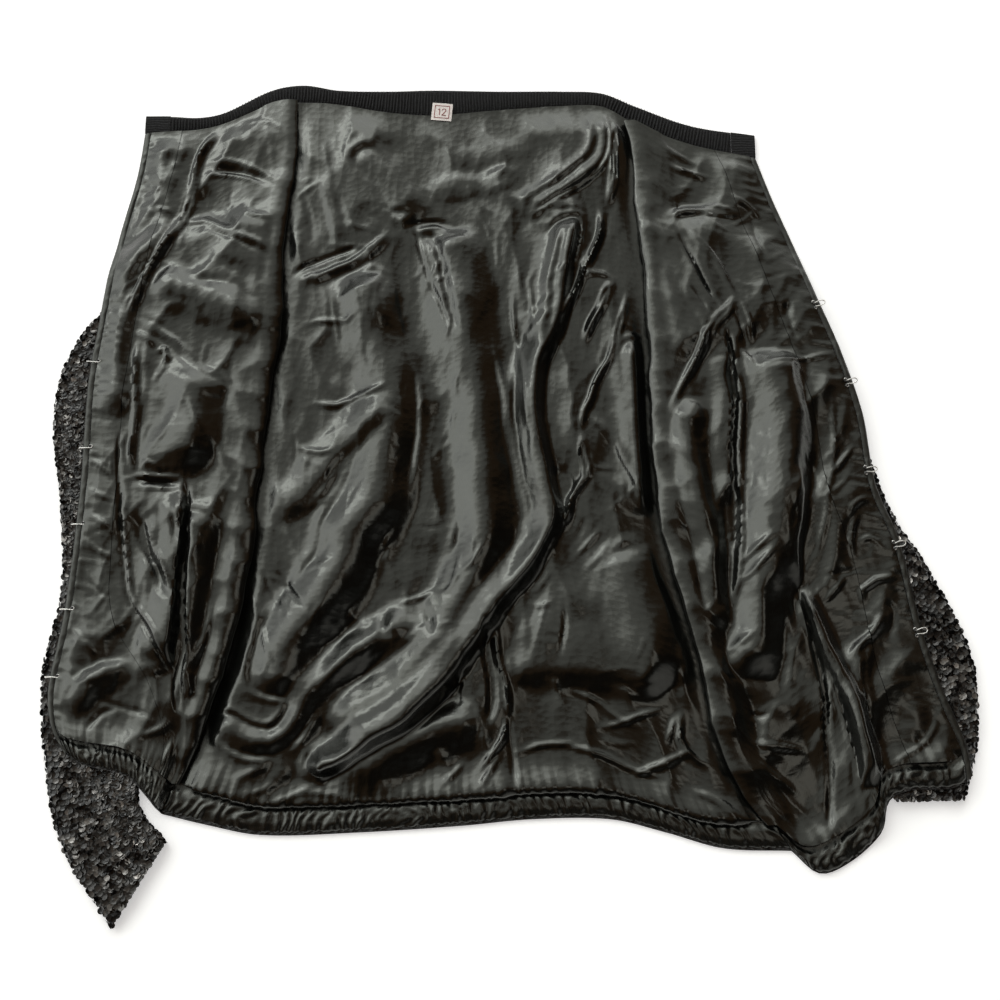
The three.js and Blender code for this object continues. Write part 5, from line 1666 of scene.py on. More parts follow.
@dataclass(frozen=True)
class StitchRow:
    """Rows of machine stitches: their pitch and size, and their place across and above the binding."""

    pitch: float = 3.2
    length: float = 2.5
    thick: float = 0.5
    share: float = 0.86
    high: float = 2.45
    seed: int = 5

    def sew(self, line: Array) -> Tuple[Array, Array]:
        """Places of the stitches on a line and the way each runs.

        Args:
            line: Points of the line.

        Returns:
            Places and ways.
        """
        steps = np.linalg.norm(np.diff(line, axis=0), axis=1)
        lengths = np.concatenate([[0.0], np.cumsum(steps)])
        s = np.arange(self.pitch / 2, lengths[-1], self.pitch)
        middle, ahead, behind = (
            np.stack([np.interp(s + shift, lengths, line[:, k]) for k in range(3)], axis=1)
            for shift in (0.0, self.length / 2, -self.length / 2)
        )
        return middle, ahead - behind

    def build(self, name: str, lines: Sequence[Array], finish: bpy.types.Material) -> bpy.types.Object:
        """Sew all lines as one piece.

        Args:
            name: The piece's name.
            lines: The lines.
            finish: Its finish.

        Returns:
            The stitches as one piece.
        """
        sewn = [self.sew(line) for line in lines]
        places = np.concatenate([p for p, _ in sewn])
        ways = np.concatenate([w for _, w in sewn])
        up = np.tile([0.0, 0.0, 1.0], (len(places), 1))
        scatter = Scatter(Unit.STITCH, self.thick, self.thick, self.length, sides=6, rings=4, tilt=0.05,
                          seed=self.seed)
        return scatter.build(name, places, turns_from(up, ways), np.ones((len(places), 3)), finish)


# The garment's pieces


def attach(piece: bpy.types.Object, slot: str, *nodes: str) -> bpy.types.Object:
    """Let a piece ride on the garment and stand for its solids.

    Args:
        piece: The piece.
        slot: The slot's name; not used.
        nodes: Solids of the part that it stands for.

    Returns:
        The same piece.
    """
    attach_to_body(piece, "root")
    if nodes:
        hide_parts(*nodes)
    LOG.info("%s: %d faces, stands for %s", piece.name, len(piece.data.polygons), ", ".join(nodes) or "trim")
    return piece


@dataclass(frozen=True)
class Finishes:
    """Materials shared by the pieces."""

    satin: bpy.types.Material
    facing: bpy.types.Material
    casing: bpy.types.Material
    piping: bpy.types.Material
    foil: bpy.types.Material
    ground: bpy.types.Material
    knit: bpy.types.Material
    wire: bpy.types.Material
    thread: bpy.types.Material

    @classmethod
    def make(cls) -> "Finishes":
        """Build every finish once."""
        return cls(
            satin=Satin("lining satin").material(),
            facing=Satin("facing satin", gloss=(0.18, 0.27)).material(),
            casing=Satin("casing satin", gloss=(0.24, 0.34)).material(),
            piping=Satin("piping satin", gloss=(0.36, 0.5), light=(0.004, 0.004, 0.0036)).material(),
            foil=SequinFoil().material(),
            ground=SequinGround().material(),
            knit=Knit().material(),
            wire=Plated().material(),
            thread=Thread("black thread", (0.02, 0.02, 0.022)).material(),
        )


@dataclass
class GatheredBand:
    """A satin casing drawn up on elastic: puffed between its seams, with uneven gathers."""

    gathers: int
    seed: int
    start: float
    end: float
    puff: float = 1.5
    crest: float = 2.0
    fullness: float = 1.6
    tall: float = 26.0
    stitch_at: float = 0.14
    stitch_deep: float = 0.6
    rows: int = 12
    per_gather: int = 8

    def surface(self, hem: Run, top: Run) -> Tuple[Array, Array, Array]:
        """Top and bottom grids of the band and its cloth coordinates.

        Args:
            hem: Points of the panel's hem at shares across.
            top: Points of the seam above the band.

        Returns:
            Top grid, bottom grid, cloth coordinates.
        """
        u = np.linspace(0.0, 1.0, self.gathers * self.per_gather + 1)[None, :]
        s = np.linspace(0.0, 1.0, self.rows + 1)[:, None]
        wander, strength, slow = (Noise(self.seed + k) for k in range(3))
        across, up = np.broadcast_arrays(u, s)
        phase = across * self.gathers + 0.6 * wander.at(across * self.gathers * 0.9, up * 2.6)
        phase += 1.1 * slow.at(across * self.gathers * 0.21, up * 0.9)
        wave = (0.5 + 0.5 * np.cos(2 * math.pi * phase)) ** 1.3
        force = 0.62 + 0.38 * strength.at(across * self.gathers * 0.8, up * 1.1)
        edge_wave = 0.045 * wave * (1 - smooth(up, 0.0, 0.4))
        share = mix(self.start, self.end, up) - edge_wave
        low, high = hem(across), top(across)
        base = mix(low, high, share[..., None])
        body = smooth(up, -0.02, 0.22) * smooth(1 - up, 0.08, 0.4)
        lift = 0.8 + self.puff * body + self.crest * wave * force * (0.25 + 0.75 * body)
        stitch = self.stitch_deep * np.exp(-(((up - self.stitch_at) / 0.05) ** 2))
        floor = base.copy()
        floor[..., 2] += SHELL_WALL + LAYER_GAP
        crest = floor.copy()
        crest[..., 2] += np.maximum(lift - stitch, 0.5)
        width = float(np.linalg.norm(np.diff(hem(u)[0], axis=0), axis=1).sum())
        cloth = np.stack([across * width * self.fullness, up * self.tall], axis=-1)
        return crest, floor, cloth

    def build(self, name: str, hem: Run, top: Run, finish: bpy.types.Material) -> bpy.types.Object:
        """Make the band as one closed piece.

        Args:
            name: The piece's name.
            hem: Run of the panel's hem.
            top: Run of the seam above it.
            finish: Its finish.

        Returns:
            The band.
        """
        stock = Stock()
        stock.wall(*self.surface(hem, top))
        return stock.build(name, finish, sharp=75.0)


@dataclass
class Sleeve:
    """A sleeve pressed flat under the front, sequins outside."""

    side: Side
    rows: Sequence[SleeveRow]
    along_steps: int = 150
    flat_steps: int = 22
    bend_steps: int = 6
    rumples: Tuple[Tuple[float, float], Tuple[float, float]] = ((26.0, 1.1), (11.0, 0.6))
    raised: float = 0.55
    lowest: float = 1.2

    def __post_init__(self) -> None:
        """Lay the two edges."""
        self.outer = Track([(r.outer_x, r.outer_y) for r in self.rows])
        self.inner = Track([(r.inner_x, r.inner_y) for r in self.rows])
        t = np.linspace(0.0, 1.0, 60)
        self.outline = np.vstack([self.outer.at(t), self.inner.at(t[::-1])])
        self.noise = Noise(21 + self.side.value)

    def section(self, inset: float) -> Tuple[Array, Array, Array]:
        """Ring of the flattened tube: place across in widths, place across in bends, height.

        Args:
            inset: Distance inside the outer face.

        Returns:
            Shares, shifts and heights round the ring.
        """
        bend = SLEEVE_HEIGHT / 2 - inset
        flat = np.linspace(0.0, 1.0, self.flat_steps)
        turn = np.linspace(-math.pi / 2, math.pi / 2, self.bend_steps + 2)[1:-1]
        zero, one = np.zeros(len(flat)), np.ones(len(turn))
        share = np.concatenate([flat, one, flat[::-1], 0 * one])
        shift = np.concatenate([mix(bend, -bend, flat), -bend + bend * np.cos(turn), mix(-bend, bend, flat),
                                bend - bend * np.cos(turn)])
        high = np.concatenate([zero + bend, -bend * np.sin(turn), zero - bend, bend * np.sin(turn)])
        return share, shift, high + SLEEVE_HEIGHT / 2

    def tube(self, inset: float) -> Array:
        """Grid of one face of the wall, rings from armhole to cuff.

        Args:
            inset: Distance inside the outer face.

        Returns:
            The grid of points.
        """
        t = np.linspace(0.0, 1.0, self.along_steps)
        a, b = self.outer.at(t), self.inner.at(t)
        width = np.linalg.norm(b - a, axis=1)
        across = (b - a) / width[:, None]
        share, shift, high = self.section(inset)
        place = inset + share[None, :] * (width[:, None] - 2 * inset) + shift[None, :]
        points = a[:, None] + across[:, None] * place[..., None]
        z = np.broadcast_to(high, place.shape).copy()
        x, y = points[..., 0], points[..., 1]
        edge = smooth(np.minimum(place, width[:, None] - place), 2.0, 16.0)
        (broad, high), (small, low) = self.rumples
        rumple = high * self.noise.at(x / broad, y / broad)
        rumple = rumple + low * self.noise.at(x / small + 9, y / small + 4)
        z += np.where(z > SLEEVE_HEIGHT / 2, edge * np.minimum(rumple - 0.4, 0.9), 0.0)
        return np.concatenate([points, z[..., None]], axis=-1)

    def build(self, finish: Finishes) -> bpy.types.Object:
        """The outer cloth of the sleeve, open at both ends.

        Args:
            finish: The materials.

        Returns:
            The sleeve.
        """
        stock = Stock()
        outer, inner = self.tube(0.0), self.tube(SLEEVE_WALL)
        rings, size = outer.shape[:2]
        number = np.arange(rings * size).reshape(rings, size)
        after = np.roll(number, -1, axis=1)
        quads = np.stack([number[:-1], after[:-1], after[1:], number[1:]], axis=-1).reshape(-1, 4)
        far = rings * size
        ends = [
            np.stack([number[0], number[0] + far, after[0] + far, after[0]], axis=-1),
            np.stack([number[-1], after[-1], after[-1] + far, number[-1] + far], axis=-1),
        ]
        faces = np.concatenate([quads, quads[:, ::-1] + far, *ends])
        points = np.concatenate([outer.reshape(-1, 3), inner.reshape(-1, 3)])
        stock.add(points, faces if volume_of(points, faces) > 0 else faces[:, ::-1])
        return stock.build(f"sleeve_cloth_{self.side.word}", finish.ground)

    def sequins(self, finish: Finishes, cover: Array) -> bpy.types.Object:
        """Real sequins on every part of the sleeve that shows.

        Args:
            finish: The materials.
            cover: Outline of the front, which hides what lies well inside it.

        Returns:
            The sequins as one piece.
        """
        rows = SequinRows(seed=31 + self.side.value)
        grid = self.tube(0.0)
        rings, size = grid.shape[:2]
        rng = np.random.default_rng(rows.seed)
        normal = grid_normals(np.concatenate([grid, grid[:, :1]], axis=1))[:, :-1]
        around = np.linalg.norm(np.diff(grid, axis=1, append=grid[:, :1]), axis=2)
        places, normals = [], []
        length = np.linalg.norm(np.diff(grid.mean(axis=1), axis=0), axis=1).sum()
        for number, line in enumerate(np.linspace(0.0, rings - 1.001, int(length / rows.pitch))):
            i = int(line)
            ring = mix(grid[i], grid[i + 1], line - i)
            lengths = np.concatenate([[0.0], np.cumsum(around[i])])
            girth = lengths[-1]
            count = max(4, int(girth / rows.pitch))
            stagger = 0.5 * (number % 2) + rng.uniform(-rows.stray, rows.stray, count)
            s = (np.arange(count) + stagger) * girth / count
            k = np.clip(np.searchsorted(lengths, s % girth, side="right") - 1, 0, size - 1)
            share = (s % girth - lengths[k]) / np.maximum(around[i][k], 1e-6)
            places.append(mix(ring[k], ring[(k + 1) % size], share[:, None]))
            normals.append(normal[i][k])
        place, facing = np.concatenate(places), np.concatenate(normals)
        outwards = np.where(place[:, 2:] > SLEEVE_HEIGHT / 2, 1.0, -1.0)
        facing = facing * np.where(facing[:, 2:] * outwards < -0.05, -1.0, 1.0)
        x, y = place[:, 0], place[:, 1]
        hidden = (outside(cover, x, y) == 0) & (nearest(cover, x, y)[0] > HIDDEN_INSIDE)
        shown = (place[:, 2] > self.lowest) & ~hidden
        place, facing = place[shown], facing[shown]
        place = place + rng.uniform(-0.5, 0.5, place.shape) * [1, 1, 0] + facing * self.raised
        upright = np.sqrt(np.clip(1 - facing[:, 2] ** 2, 0, 1))
        reach = 0.5 * rows.width * rows.scale[1] * np.minimum(upright + rows.tilt, 1)
        place[:, 2] = np.maximum(place[:, 2], reach + 0.4)
        return rows.cover(f"sleeve_sequins_{self.side.word}", place, facing, finish.foil)


@dataclass
class Back:
    """The back: flat sequinned shell, folded satin lining over it, gathered casing at the hem."""

    finish: Finishes
    rows: int = 316
    columns: int = 223
    shell_grid: Tuple[int, int] = (110, 70)
    tall: float = 600.0
    lining_tall: float = 590.0
    wide: float = 430.0
    loft: float = 1.6
    pouch_reach: float = 15.0
    gather_rise: float = 1.1
    gather_reach: float = 13.0
    neck_rise: float = 0.7
    neck_reach: float = 12.0
    small: int = 110
    crumple: Crumple = Crumple()

    def __post_init__(self) -> None:
        """Lay the panel and its folds."""
        self.sides = (Track(SEAM_LEFT), Track(SEAM_RIGHT))
        low, high = BACK_HEM[0].x, BACK_HEM[-1].x

        def hem(t: Array) -> Array:
            """Points of the hem."""
            x = mix(low, high, np.asarray(t, float))
            return np.stack([x, through(BACK_HEM, "x", "y", x)], axis=-1)

        self.panel = Panel(hem, neck_run(SEAM_LEFT[-1].x, SEAM_RIGHT[-1].x), *self.sides)
        self.band = BAND_BACK / self.panel.height(0.5)
        self.folds = FoldField(BACK_FOLDS, seed=100)
        self.folds.add_small(
            self.small, lambda share: self.point(share[:, 0], mix(0.08, 0.97, share[:, 1])), SmallCreases()
        )
        self.noise = [Noise(140 + k) for k in range(3)]

    def point(self, u: Array, v: Array, gap: float = SEAM_GAP) -> Array:
        """Place in the plane, kept a gap inside sides and neck."""
        inset = gap / self.panel.width(v)
        return self.panel.at(mix(inset, 1 - inset, u), v * (1 - gap / self.tall))

    def lining_grid(self) -> Tuple[Array, Array]:
        """Upper surface of the lining and its cloth coordinates."""
        s, u = np.meshgrid(np.linspace(0, 1, self.rows), np.linspace(0, 1, self.columns), indexing="ij")
        v = mix(self.band, 1.0, s)
        flat = self.point(u, v)
        x, y = flat[..., 0], flat[..., 1]
        width = self.panel.width(v)
        roll_a, roll_b = self.sides[0].at(v)[..., 2], self.sides[1].at(v)[..., 2]
        clear_a = smooth(u * width - roll_a - 1, 0, ROLL_CLEARANCE)
        clear_b = smooth((1 - u) * width - roll_b - 1, 0, ROLL_CLEARANCE)
        from_hem, from_neck = s * self.lining_tall, (1 - s) * self.lining_tall
        rim = smooth(from_neck, 0, 30)
        folds = self.folds.height(x, y)
        height = self.loft + folds + self.crumple.height(self.noise[0], x, y, folds)
        height = hold_off(height, 0.0, 1.2) * clear_a * clear_b * rim
        pouch = POUCH * (1 + 0.3 * self.noise[1].at(u * 11, u * 4)) * smooth(np.minimum(u, 1 - u), 0.0, 0.06)
        height += (2 * pouch - 0.5 * height) * np.exp(-((from_hem / self.pouch_reach) ** 2))
        gather = gathers(u * GATHERS_BACK, 0.6 * self.noise[2].at(u * 50, s * 9)) ** 1.5
        height += self.gather_rise * gather * fades(from_hem, self.gather_reach)
        tucks = 0.5 + 0.5 * self.noise[2].at(u * 44, s * 3)
        height += self.neck_rise * tucks * fades(from_neck, self.neck_reach)
        top = np.stack([x, y, LINING_MIDDLE + LINING_WALL / 2 + height], axis=-1)
        cloth = np.stack([(u - 0.5) * self.wide, s * self.tall], axis=-1)
        return tucked(top, cloth, np.array([0.0, -1.0]), SHELL_WALL + LAYER_GAP + LINING_WALL)

    def lining(self) -> bpy.types.Object:
        """The satin lining with its ease pleat."""
        top, cloth = self.lining_grid()
        stock = Stock()
        stock.coarse_wall(top, cloth, LINING_WALL, SHELL_WALL + LAYER_GAP)
        return attach(stock.build("back_satin", self.finish.satin, 70.0), "satin", "back_lining")

    def shell(self) -> bpy.types.Object:
        """The outer cloth, flat on the table."""
        rows, columns = self.shell_grid
        v, u = np.meshgrid(np.linspace(0, 1, rows), np.linspace(0, 1, columns), indexing="ij")
        flat = self.point(u, v, 0.0)
        under = level(flat)
        stock = Stock()
        stock.wall(under + [0, 0, SHELL_WALL], under, flat)
        return attach(stock.build("back_outer_cloth", self.finish.ground), "sequin_cloth", "back_shell")

    def edge(self, v: float) -> Run:
        """Run of the panel at a height v, on the table."""

        def run(u: Array) -> Array:
            """Points across."""
            return level(self.point(u, np.full(np.shape(u), v)))

        return run

    def hem_band(self) -> bpy.types.Object:
        """The gathered casing."""
        band = GatheredBand(GATHERS_BACK, seed=60, start=0.12, end=0.97)
        piece = band.build("back_casing", self.edge(0.0), self.edge(self.band), self.finish.casing)
        return attach(piece, "satin", "back_hem_band")


@dataclass
class Front:
    """One opened front: shell, facing, lining, binding and hem casing."""

    side: Side
    finish: Finishes
    sleeve: Sleeve
    edge_rows: Sequence[EdgeRow]
    hem_rows: Sequence[EdgeRow]
    seam_rows: Sequence[SeamRow]
    neck_from: float
    facing_rows: Sequence[ShareRow]
    fold_rows: Sequence[Fold]
    small: int
    pitch: float = 1.95
    drop: float = 6.0
    loft: float = 1.5
    pouch_reach: float = 13.0
    pucker_rise: float = 1.5
    pucker_reach: float = 13.0
    gather_rise: float = 1.2
    gather_reach: float = 13.0
    lumps: Tuple[float, float] = (7.0, 2.6)
    piping: float = 2.5
    piping_pucker: float = 0.35
    roll_angles: Tuple[float, float, int] = (74.0, -84.0, 12)
    crumple: Crumple = Crumple((38.0, 84.0, 9.0), (26.0, 56.0, 3.4), (11.0, 24.0, 0.9), 50.0, -0.3)

    def __post_init__(self) -> None:
        """Lay the panel and its folds."""
        self.edge = Track(self.edge_rows)
        self.seam = Track(self.seam_rows)
        self.panel = Panel(Track(self.hem_rows).at, neck_run(self.neck_from, self.seam_rows[-1].x), self.edge,
                           self.seam)
        self.tall = self.panel.height(0.5)
        self.band = BAND_FRONT / self.tall
        self.top = 1 - SEAM_GAP / self.tall
        seed = 200 + 20 * self.side.value
        self.folds = FoldField(self.fold_rows, seed=seed)
        self.folds.add_small(
            self.small, lambda share: self.panel.at(share[:, 0], mix(0.06, 0.97, share[:, 1])), SmallCreases()
        )
        self.noise = [Noise(seed + 7 + k) for k in range(4)]

    def shares(self, v: Array) -> Tuple[Array, Array, Array]:
        """Shares of the binding seam, the facing seam and the side seam at a height v.

        Args:
            v: Shares up.

        Returns:
            The three shares.
        """
        width = self.panel.width(v)
        facing = through(self.facing_rows, "v", "share", v)
        return (BINDING_WIDTH + SEAM_GAP) / width, facing, 1 - SEAM_GAP / width

    def under(self, u: Array, v: Array, drop: float = 0.0) -> Array:
        """Under face of the shell: on the table, or lifted by the sleeve below.

        Args:
            u: Shares across.
            v: Shares up.
            drop: Width beside the side seam over which the cloth comes down to the back's level.

        Returns:
            Points of the face.
        """
        flat = self.panel.at(u, v)
        clear = outside(self.sleeve.outline, flat[..., 0], flat[..., 1])
        z = FRONT_LIFT * (1 - smooth(clear, LIFT_FULL, LIFT_NONE))
        if drop > 0:
            z = z * smooth((1 - u) * self.panel.width(v), 2 * SEAM_GAP, drop)
        return np.concatenate([flat, z[..., None]], axis=-1)

    def roll_top(self, v: Array) -> Array:
        """Height of the fold's crest over the side seam.

        Args:
            v: Shares up.

        Returns:
            The height there.
        """
        _, _, end = self.shares(v)
        seam_z = self.under(end, v)[..., 2]
        least = np.maximum(seam_z + LINING_MIDDLE + ROLL_LEAST_RISE, ROLL_LOWER + ROLL_LEAST_DEPTH)
        full = ROLL_LOWER + 2 * ROLL_RADIUS * smooth(v, 0, 0.15) * smooth(1 - v, 0, 0.25)
        return np.maximum(least, full)

    def middle(self, u: Array, v: Array) -> Array:
        """Middle surface of facing and lining.

        Args:
            u: Shares across.
            v: Shares up.

        Returns:
            Points of the surface.
        """
        p = self.under(u, v)
        x, y = p[..., 0], p[..., 1]
        width = self.panel.width(v)
        from_edge = u * width - BINDING_WIDTH
        from_hem = (v - self.band) * self.tall
        rim = smooth((1 - v) * self.tall, 0, 24) * smooth(from_edge, -4, 20)
        folds = self.folds.height(x, y)
        height = self.loft + folds + self.crumple.height(self.noise[0], x, y, folds)
        height = hold_off(height, 0.0, 1.2) * rim
        pouch = POUCH * (0.85 + 0.3 * self.noise[1].at(x / 31, y / 90)) * smooth(from_edge, -2, 14)
        height += (2 * pouch - 0.5 * height) * np.exp(-((from_hem / self.pouch_reach) ** 2))
        pucker = self.noise[2].ridged(x / 30, y / 7.5 + x / 40)
        pucker = pucker * fades(np.maximum(from_edge, 0), self.pucker_reach)
        height += self.pucker_rise * pucker.clip(0) * smooth(from_edge, -3, 3)
        gather = gathers(u * GATHERS_FRONT, 0.7 * self.noise[3].at(u * 17, v * 20))
        height += self.gather_rise * gather * fades(np.maximum(from_hem, 0), self.gather_reach)
        to_seam = (1 - u) * width
        turn = smooth(to_seam, 0, ROLL_REACH)
        crossing = np.minimum(self.noise[3].cells(y / 26 + x / 70, x / 30), 0.5) - 0.2
        lump = 1.3 * self.noise[3].at(y / 34, x / 60) + mix(*self.lumps, smooth(v, 0.4, 0.8)) * crossing
        base = p[..., 2] + LINING_MIDDLE
        rolled = mix(self.roll_top(v), base + self.loft, turn)
        over = base + height - rolled
        inside = smooth(to_seam, 0, 12)
        z = rolled + 0.5 * (over + np.sqrt(over * over + 2.0)) * inside * (0.5 + 0.5 * turn)
        z = mix(z - 0.7 * inside * (1 - turn), base + height, smooth(turn, 0.7, 1.0))
        between = smooth(v, 0.02, 0.1) * smooth(1 - v, 0.01, 0.1)
        p[..., 2] = z + lump * smooth(to_seam, -8, 6) * (1 - turn) * between
        return p

    def rows(self, length: float) -> Array:
        """Heights of a panel's rows above the hem band."""
        return np.linspace(self.band, self.top, int(length / self.pitch))

    def facing(self) -> bpy.types.Object:
        """The satin facing beside the binding."""
        v = self.rows(self.tall)
        start, seam, _ = self.shares(v)
        columns = int(float(np.max((seam - start) * self.panel.width(v))) / self.pitch) + 2
        t = np.linspace(0, 1, columns)[None, :]
        u = mix(start[:, None], seam[:, None] - 0.6 * SEAM_GAP / self.panel.width(v)[:, None], t)
        vv = np.broadcast_to(v[:, None], u.shape)
        cloth = np.stack([u * self.panel.width(vv), vv * self.tall], axis=-1)
        piece = cloth_piece(f"facing_satin_{self.side.word}", self.middle(u, vv), LINING_WALL, cloth,
                            self.finish.facing)
        return attach(piece, "satin", f"front_facing_{self.side.word}")

    def lining(self) -> bpy.types.Object:
        """The satin lining, turned over the side seam in a soft roll."""
        v = self.rows(self.tall)
        _, seam, end = self.shares(v)
        width = self.panel.width(v)
        columns = int(float(np.max((end - seam) * width)) / self.pitch) + 2
        t = np.linspace(0, 1, columns)[None, :]
        u = mix(seam[:, None] + 0.6 * SEAM_GAP / width[:, None], end[:, None], t)
        vv = np.broadcast_to(v[:, None], u.shape)
        flat = self.middle(u, vv)
        turn = flat[:, -1]
        radius = (turn[:, 2] - ROLL_LOWER) / 2
        ripple = np.minimum(self.noise[3].cells(v * 19, v * 0), 0.4) - 0.15
        waver = 1 + 0.22 * self.noise[1].at(v * 9, v * 0) + 0.5 * ripple
        reach = (self.seam.at(v)[:, 2] - LINING_WALL / 2) * waver
        angles = np.radians(np.linspace(*self.roll_angles))
        roll = np.repeat(turn[:, None], len(angles), axis=1)
        roll[..., 0] += self.side.value * reach[:, None] * np.cos(angles)
        roll[..., 2] += radius[:, None] * (np.sin(angles) - 1)
        middle = np.concatenate([flat, roll], axis=1)
        steps = np.linalg.norm(np.diff(roll, axis=1, prepend=turn[:, None]), axis=2).cumsum(axis=1)
        cloth_u = np.concatenate([u * width[:, None], (end * width)[:, None] + steps], axis=1)
        cloth = np.stack([cloth_u, np.broadcast_to((v * self.tall)[:, None], cloth_u.shape)], axis=-1)
        piece = cloth_piece(f"front_satin_{self.side.word}", middle, LINING_WALL, cloth, self.finish.satin)
        return attach(piece, "satin", f"front_lining_{self.side.word}")

    def shell(self) -> bpy.types.Object:
        """The outer cloth, lifted where the sleeve lies below it."""
        v = np.linspace(0, self.top, 100)
        start, _, _ = self.shares(v)
        end = np.ones(len(v))
        u = mix(start[:, None], end[:, None], np.linspace(0, 1, 34)[None, :])
        under = self.under(u, np.broadcast_to(v[:, None], u.shape), self.drop)
        stock = Stock()
        stock.wall(under + [0, 0, SHELL_WALL], under, under[..., :2])
        piece = stock.build(f"front_outer_cloth_{self.side.word}", self.finish.ground)
        return attach(piece, "sequin_cloth", f"front_shell_{self.side.word}")

    def binding_line(self, share: float, high: float) -> Array:
        """Line along the binding at a share of its width, a height over its base.

        Args:
            share: Share of the width.
            high: Height over the base.

        Returns:
            The points.
        """
        v = np.linspace(0.0, self.top, 420)
        start, _, _ = self.shares(v)
        line = self.under(start * share, v)
        line[:, 2] += high
        return line

    def binding(self) -> bpy.types.Object:
        """The narrow satin binding along the front edge."""
        v = np.linspace(0.0, self.top, 300)
        start, _, _ = self.shares(v)
        t = np.linspace(0, 1, 11)[None, :]
        across = t * (start - 0.4 * SEAM_GAP / self.panel.width(v))[:, None]
        base = self.under(across, np.broadcast_to(v[:, None], across.shape))
        length = v[:, None] * self.tall
        pucker = self.noise[2].at(length / 4.2, t * 2.2)
        crown = np.sqrt(np.clip(1 - (2 * t - 1.0) ** 2 * 0.82, 0, 1))
        top = base.copy()
        top[..., 2] += self.piping * crown + self.piping_pucker * pucker * crown + 0.2
        cloth = np.stack(np.broadcast_arrays(t * 12.0, length), axis=-1)
        stock = Stock()
        stock.wall(top, base, cloth)
        piece = stock.build(f"edge_binding_{self.side.word}", self.finish.piping)
        return attach(piece, "binding", f"front_binding_{self.side.word}")

    def hem_band(self) -> bpy.types.Object:
        """The gathered casing of the front's hem."""

        def run(v: float) -> Run:
            """Run of the panel at a height v."""

            def points(t: Array) -> Array:
                """Points across, from the binding to the side seam."""
                vv = np.full(np.shape(t), v)
                start, _, end = self.shares(vv)
                return self.under(mix(start, end, t), vv, self.drop)

            return points

        band = GatheredBand(GATHERS_FRONT, seed=70 + self.side.value, start=0.1, end=0.96)
        piece = band.build(f"front_casing_{self.side.word}", run(0.0), run(self.band), self.finish.casing)
        return attach(piece, "satin", f"front_hem_band_{self.side.word}")

    def outline(self) -> Array:
        """The front's outline, once round."""
        t = np.linspace(0, 1, 80)
        return np.vstack([self.edge.at(t), self.panel.neck(t), self.seam.at(t[::-1])[:, :2],
                          self.panel.hem(t[::-1])[:, :2]])

    def build(self) -> None:
        """Make all pieces of this front and the sleeve below it."""
        self.shell()
        self.facing()
        self.lining()
        self.binding()
        self.hem_band()
        attach(self.sleeve.build(self.finish), "sequin_cloth", f"sleeve_{self.side.word}")
        attach(self.sleeve.sequins(self.finish, self.outline()), "sequin_cloth")


@dataclass
class NeckBand:
    """The ribbed neckband and its two plain tabs."""

    finish: Finishes
    ribs: int = 184
    rib_wide: float = 2.0
    rib_high: float = 3.2
    ground: Tuple[float, float] = (1.3, 0.5)
    tab: Tuple[float, float] = (2.2, 0.6)

    def strip(self, name: str, from_x: float, to_x: float, columns: int, base: float, crown: float,
              material: bpy.types.Material) -> bpy.types.Object:
        """A strip of the band between two x, crowned a little along its middle.

        Args:
            name: The piece's name.
            from_x: Its left end.
            to_x: Its right end.
            columns: How many points it has across.
            base: Height of its rims.
            crown: Rise of its middle.
            material: Its finish.

        Returns:
            The strip.
        """
        s, t = np.meshgrid(np.linspace(0, 1, 9), np.linspace(0, 1, columns), indexing="ij")
        x = mix(from_x, to_x, t)
        y = neck_y(x) + s * neck_band(x)
        under = np.stack([x, y, np.zeros(x.shape)], axis=-1)
        top = under.copy()
        top[..., 2] = base + crown * np.sqrt(np.clip(1 - (2 * s - 1) ** 2, 0, 1))
        stock = Stock()
        stock.wall(top, under, np.stack([x, y], axis=-1))
        return stock.build(name, material)

    def build(self) -> None:
        """Make the ground, the ribs and the tabs."""
        ends, gap = TAB_ENDS, SEAM_GAP / 2
        knit = self.finish.knit
        ground = self.strip("neck_rib_ground", ends[1] + gap, ends[2] - gap, 420, *self.ground, knit)
        attach(ground, "rib_knit", "neck_rib")
        x = mix(ends[1] + 1.5, ends[2] - 1.5, (np.arange(self.ribs) + 0.5) / self.ribs)
        rng = np.random.default_rng(11)
        x = x + rng.uniform(-0.25, 0.25, self.ribs)
        y, band = neck_y(x), neck_band(x)
        slope = neck_y(x + 1) - neck_y(x - 1)
        lean = np.arctan2(slope, 2.0) * 0.6 + rng.normal(0, 0.03, self.ribs)
        places = np.stack([x, y + band * 0.5, np.full(self.ribs, 1.5)], axis=1)
        turns = np.stack([np.zeros(self.ribs), np.zeros(self.ribs), lean + math.pi / 2], axis=1)
        wide, high = rng.uniform(0.92, 1.08, self.ribs), rng.uniform(0.92, 1.1, self.ribs)
        sizes = np.stack([band * 1.04, wide, high], axis=1)
        scatter = Scatter(Unit.RIB, self.rib_wide, self.rib_high, 1.0, sides=10, rings=9, seed=2)
        attach(scatter.build("neck_ribs", places, turns, sizes, knit), "rib_knit")
        for side, a, b in (("left", ends[0], ends[1] - gap), ("right", ends[2] + gap, ends[3])):
            tab = self.strip(f"neck_tab_{side}_knit", a, b, 24, *self.tab, knit)
            attach(tab, "rib_knit", f"neck_tab_{side}")


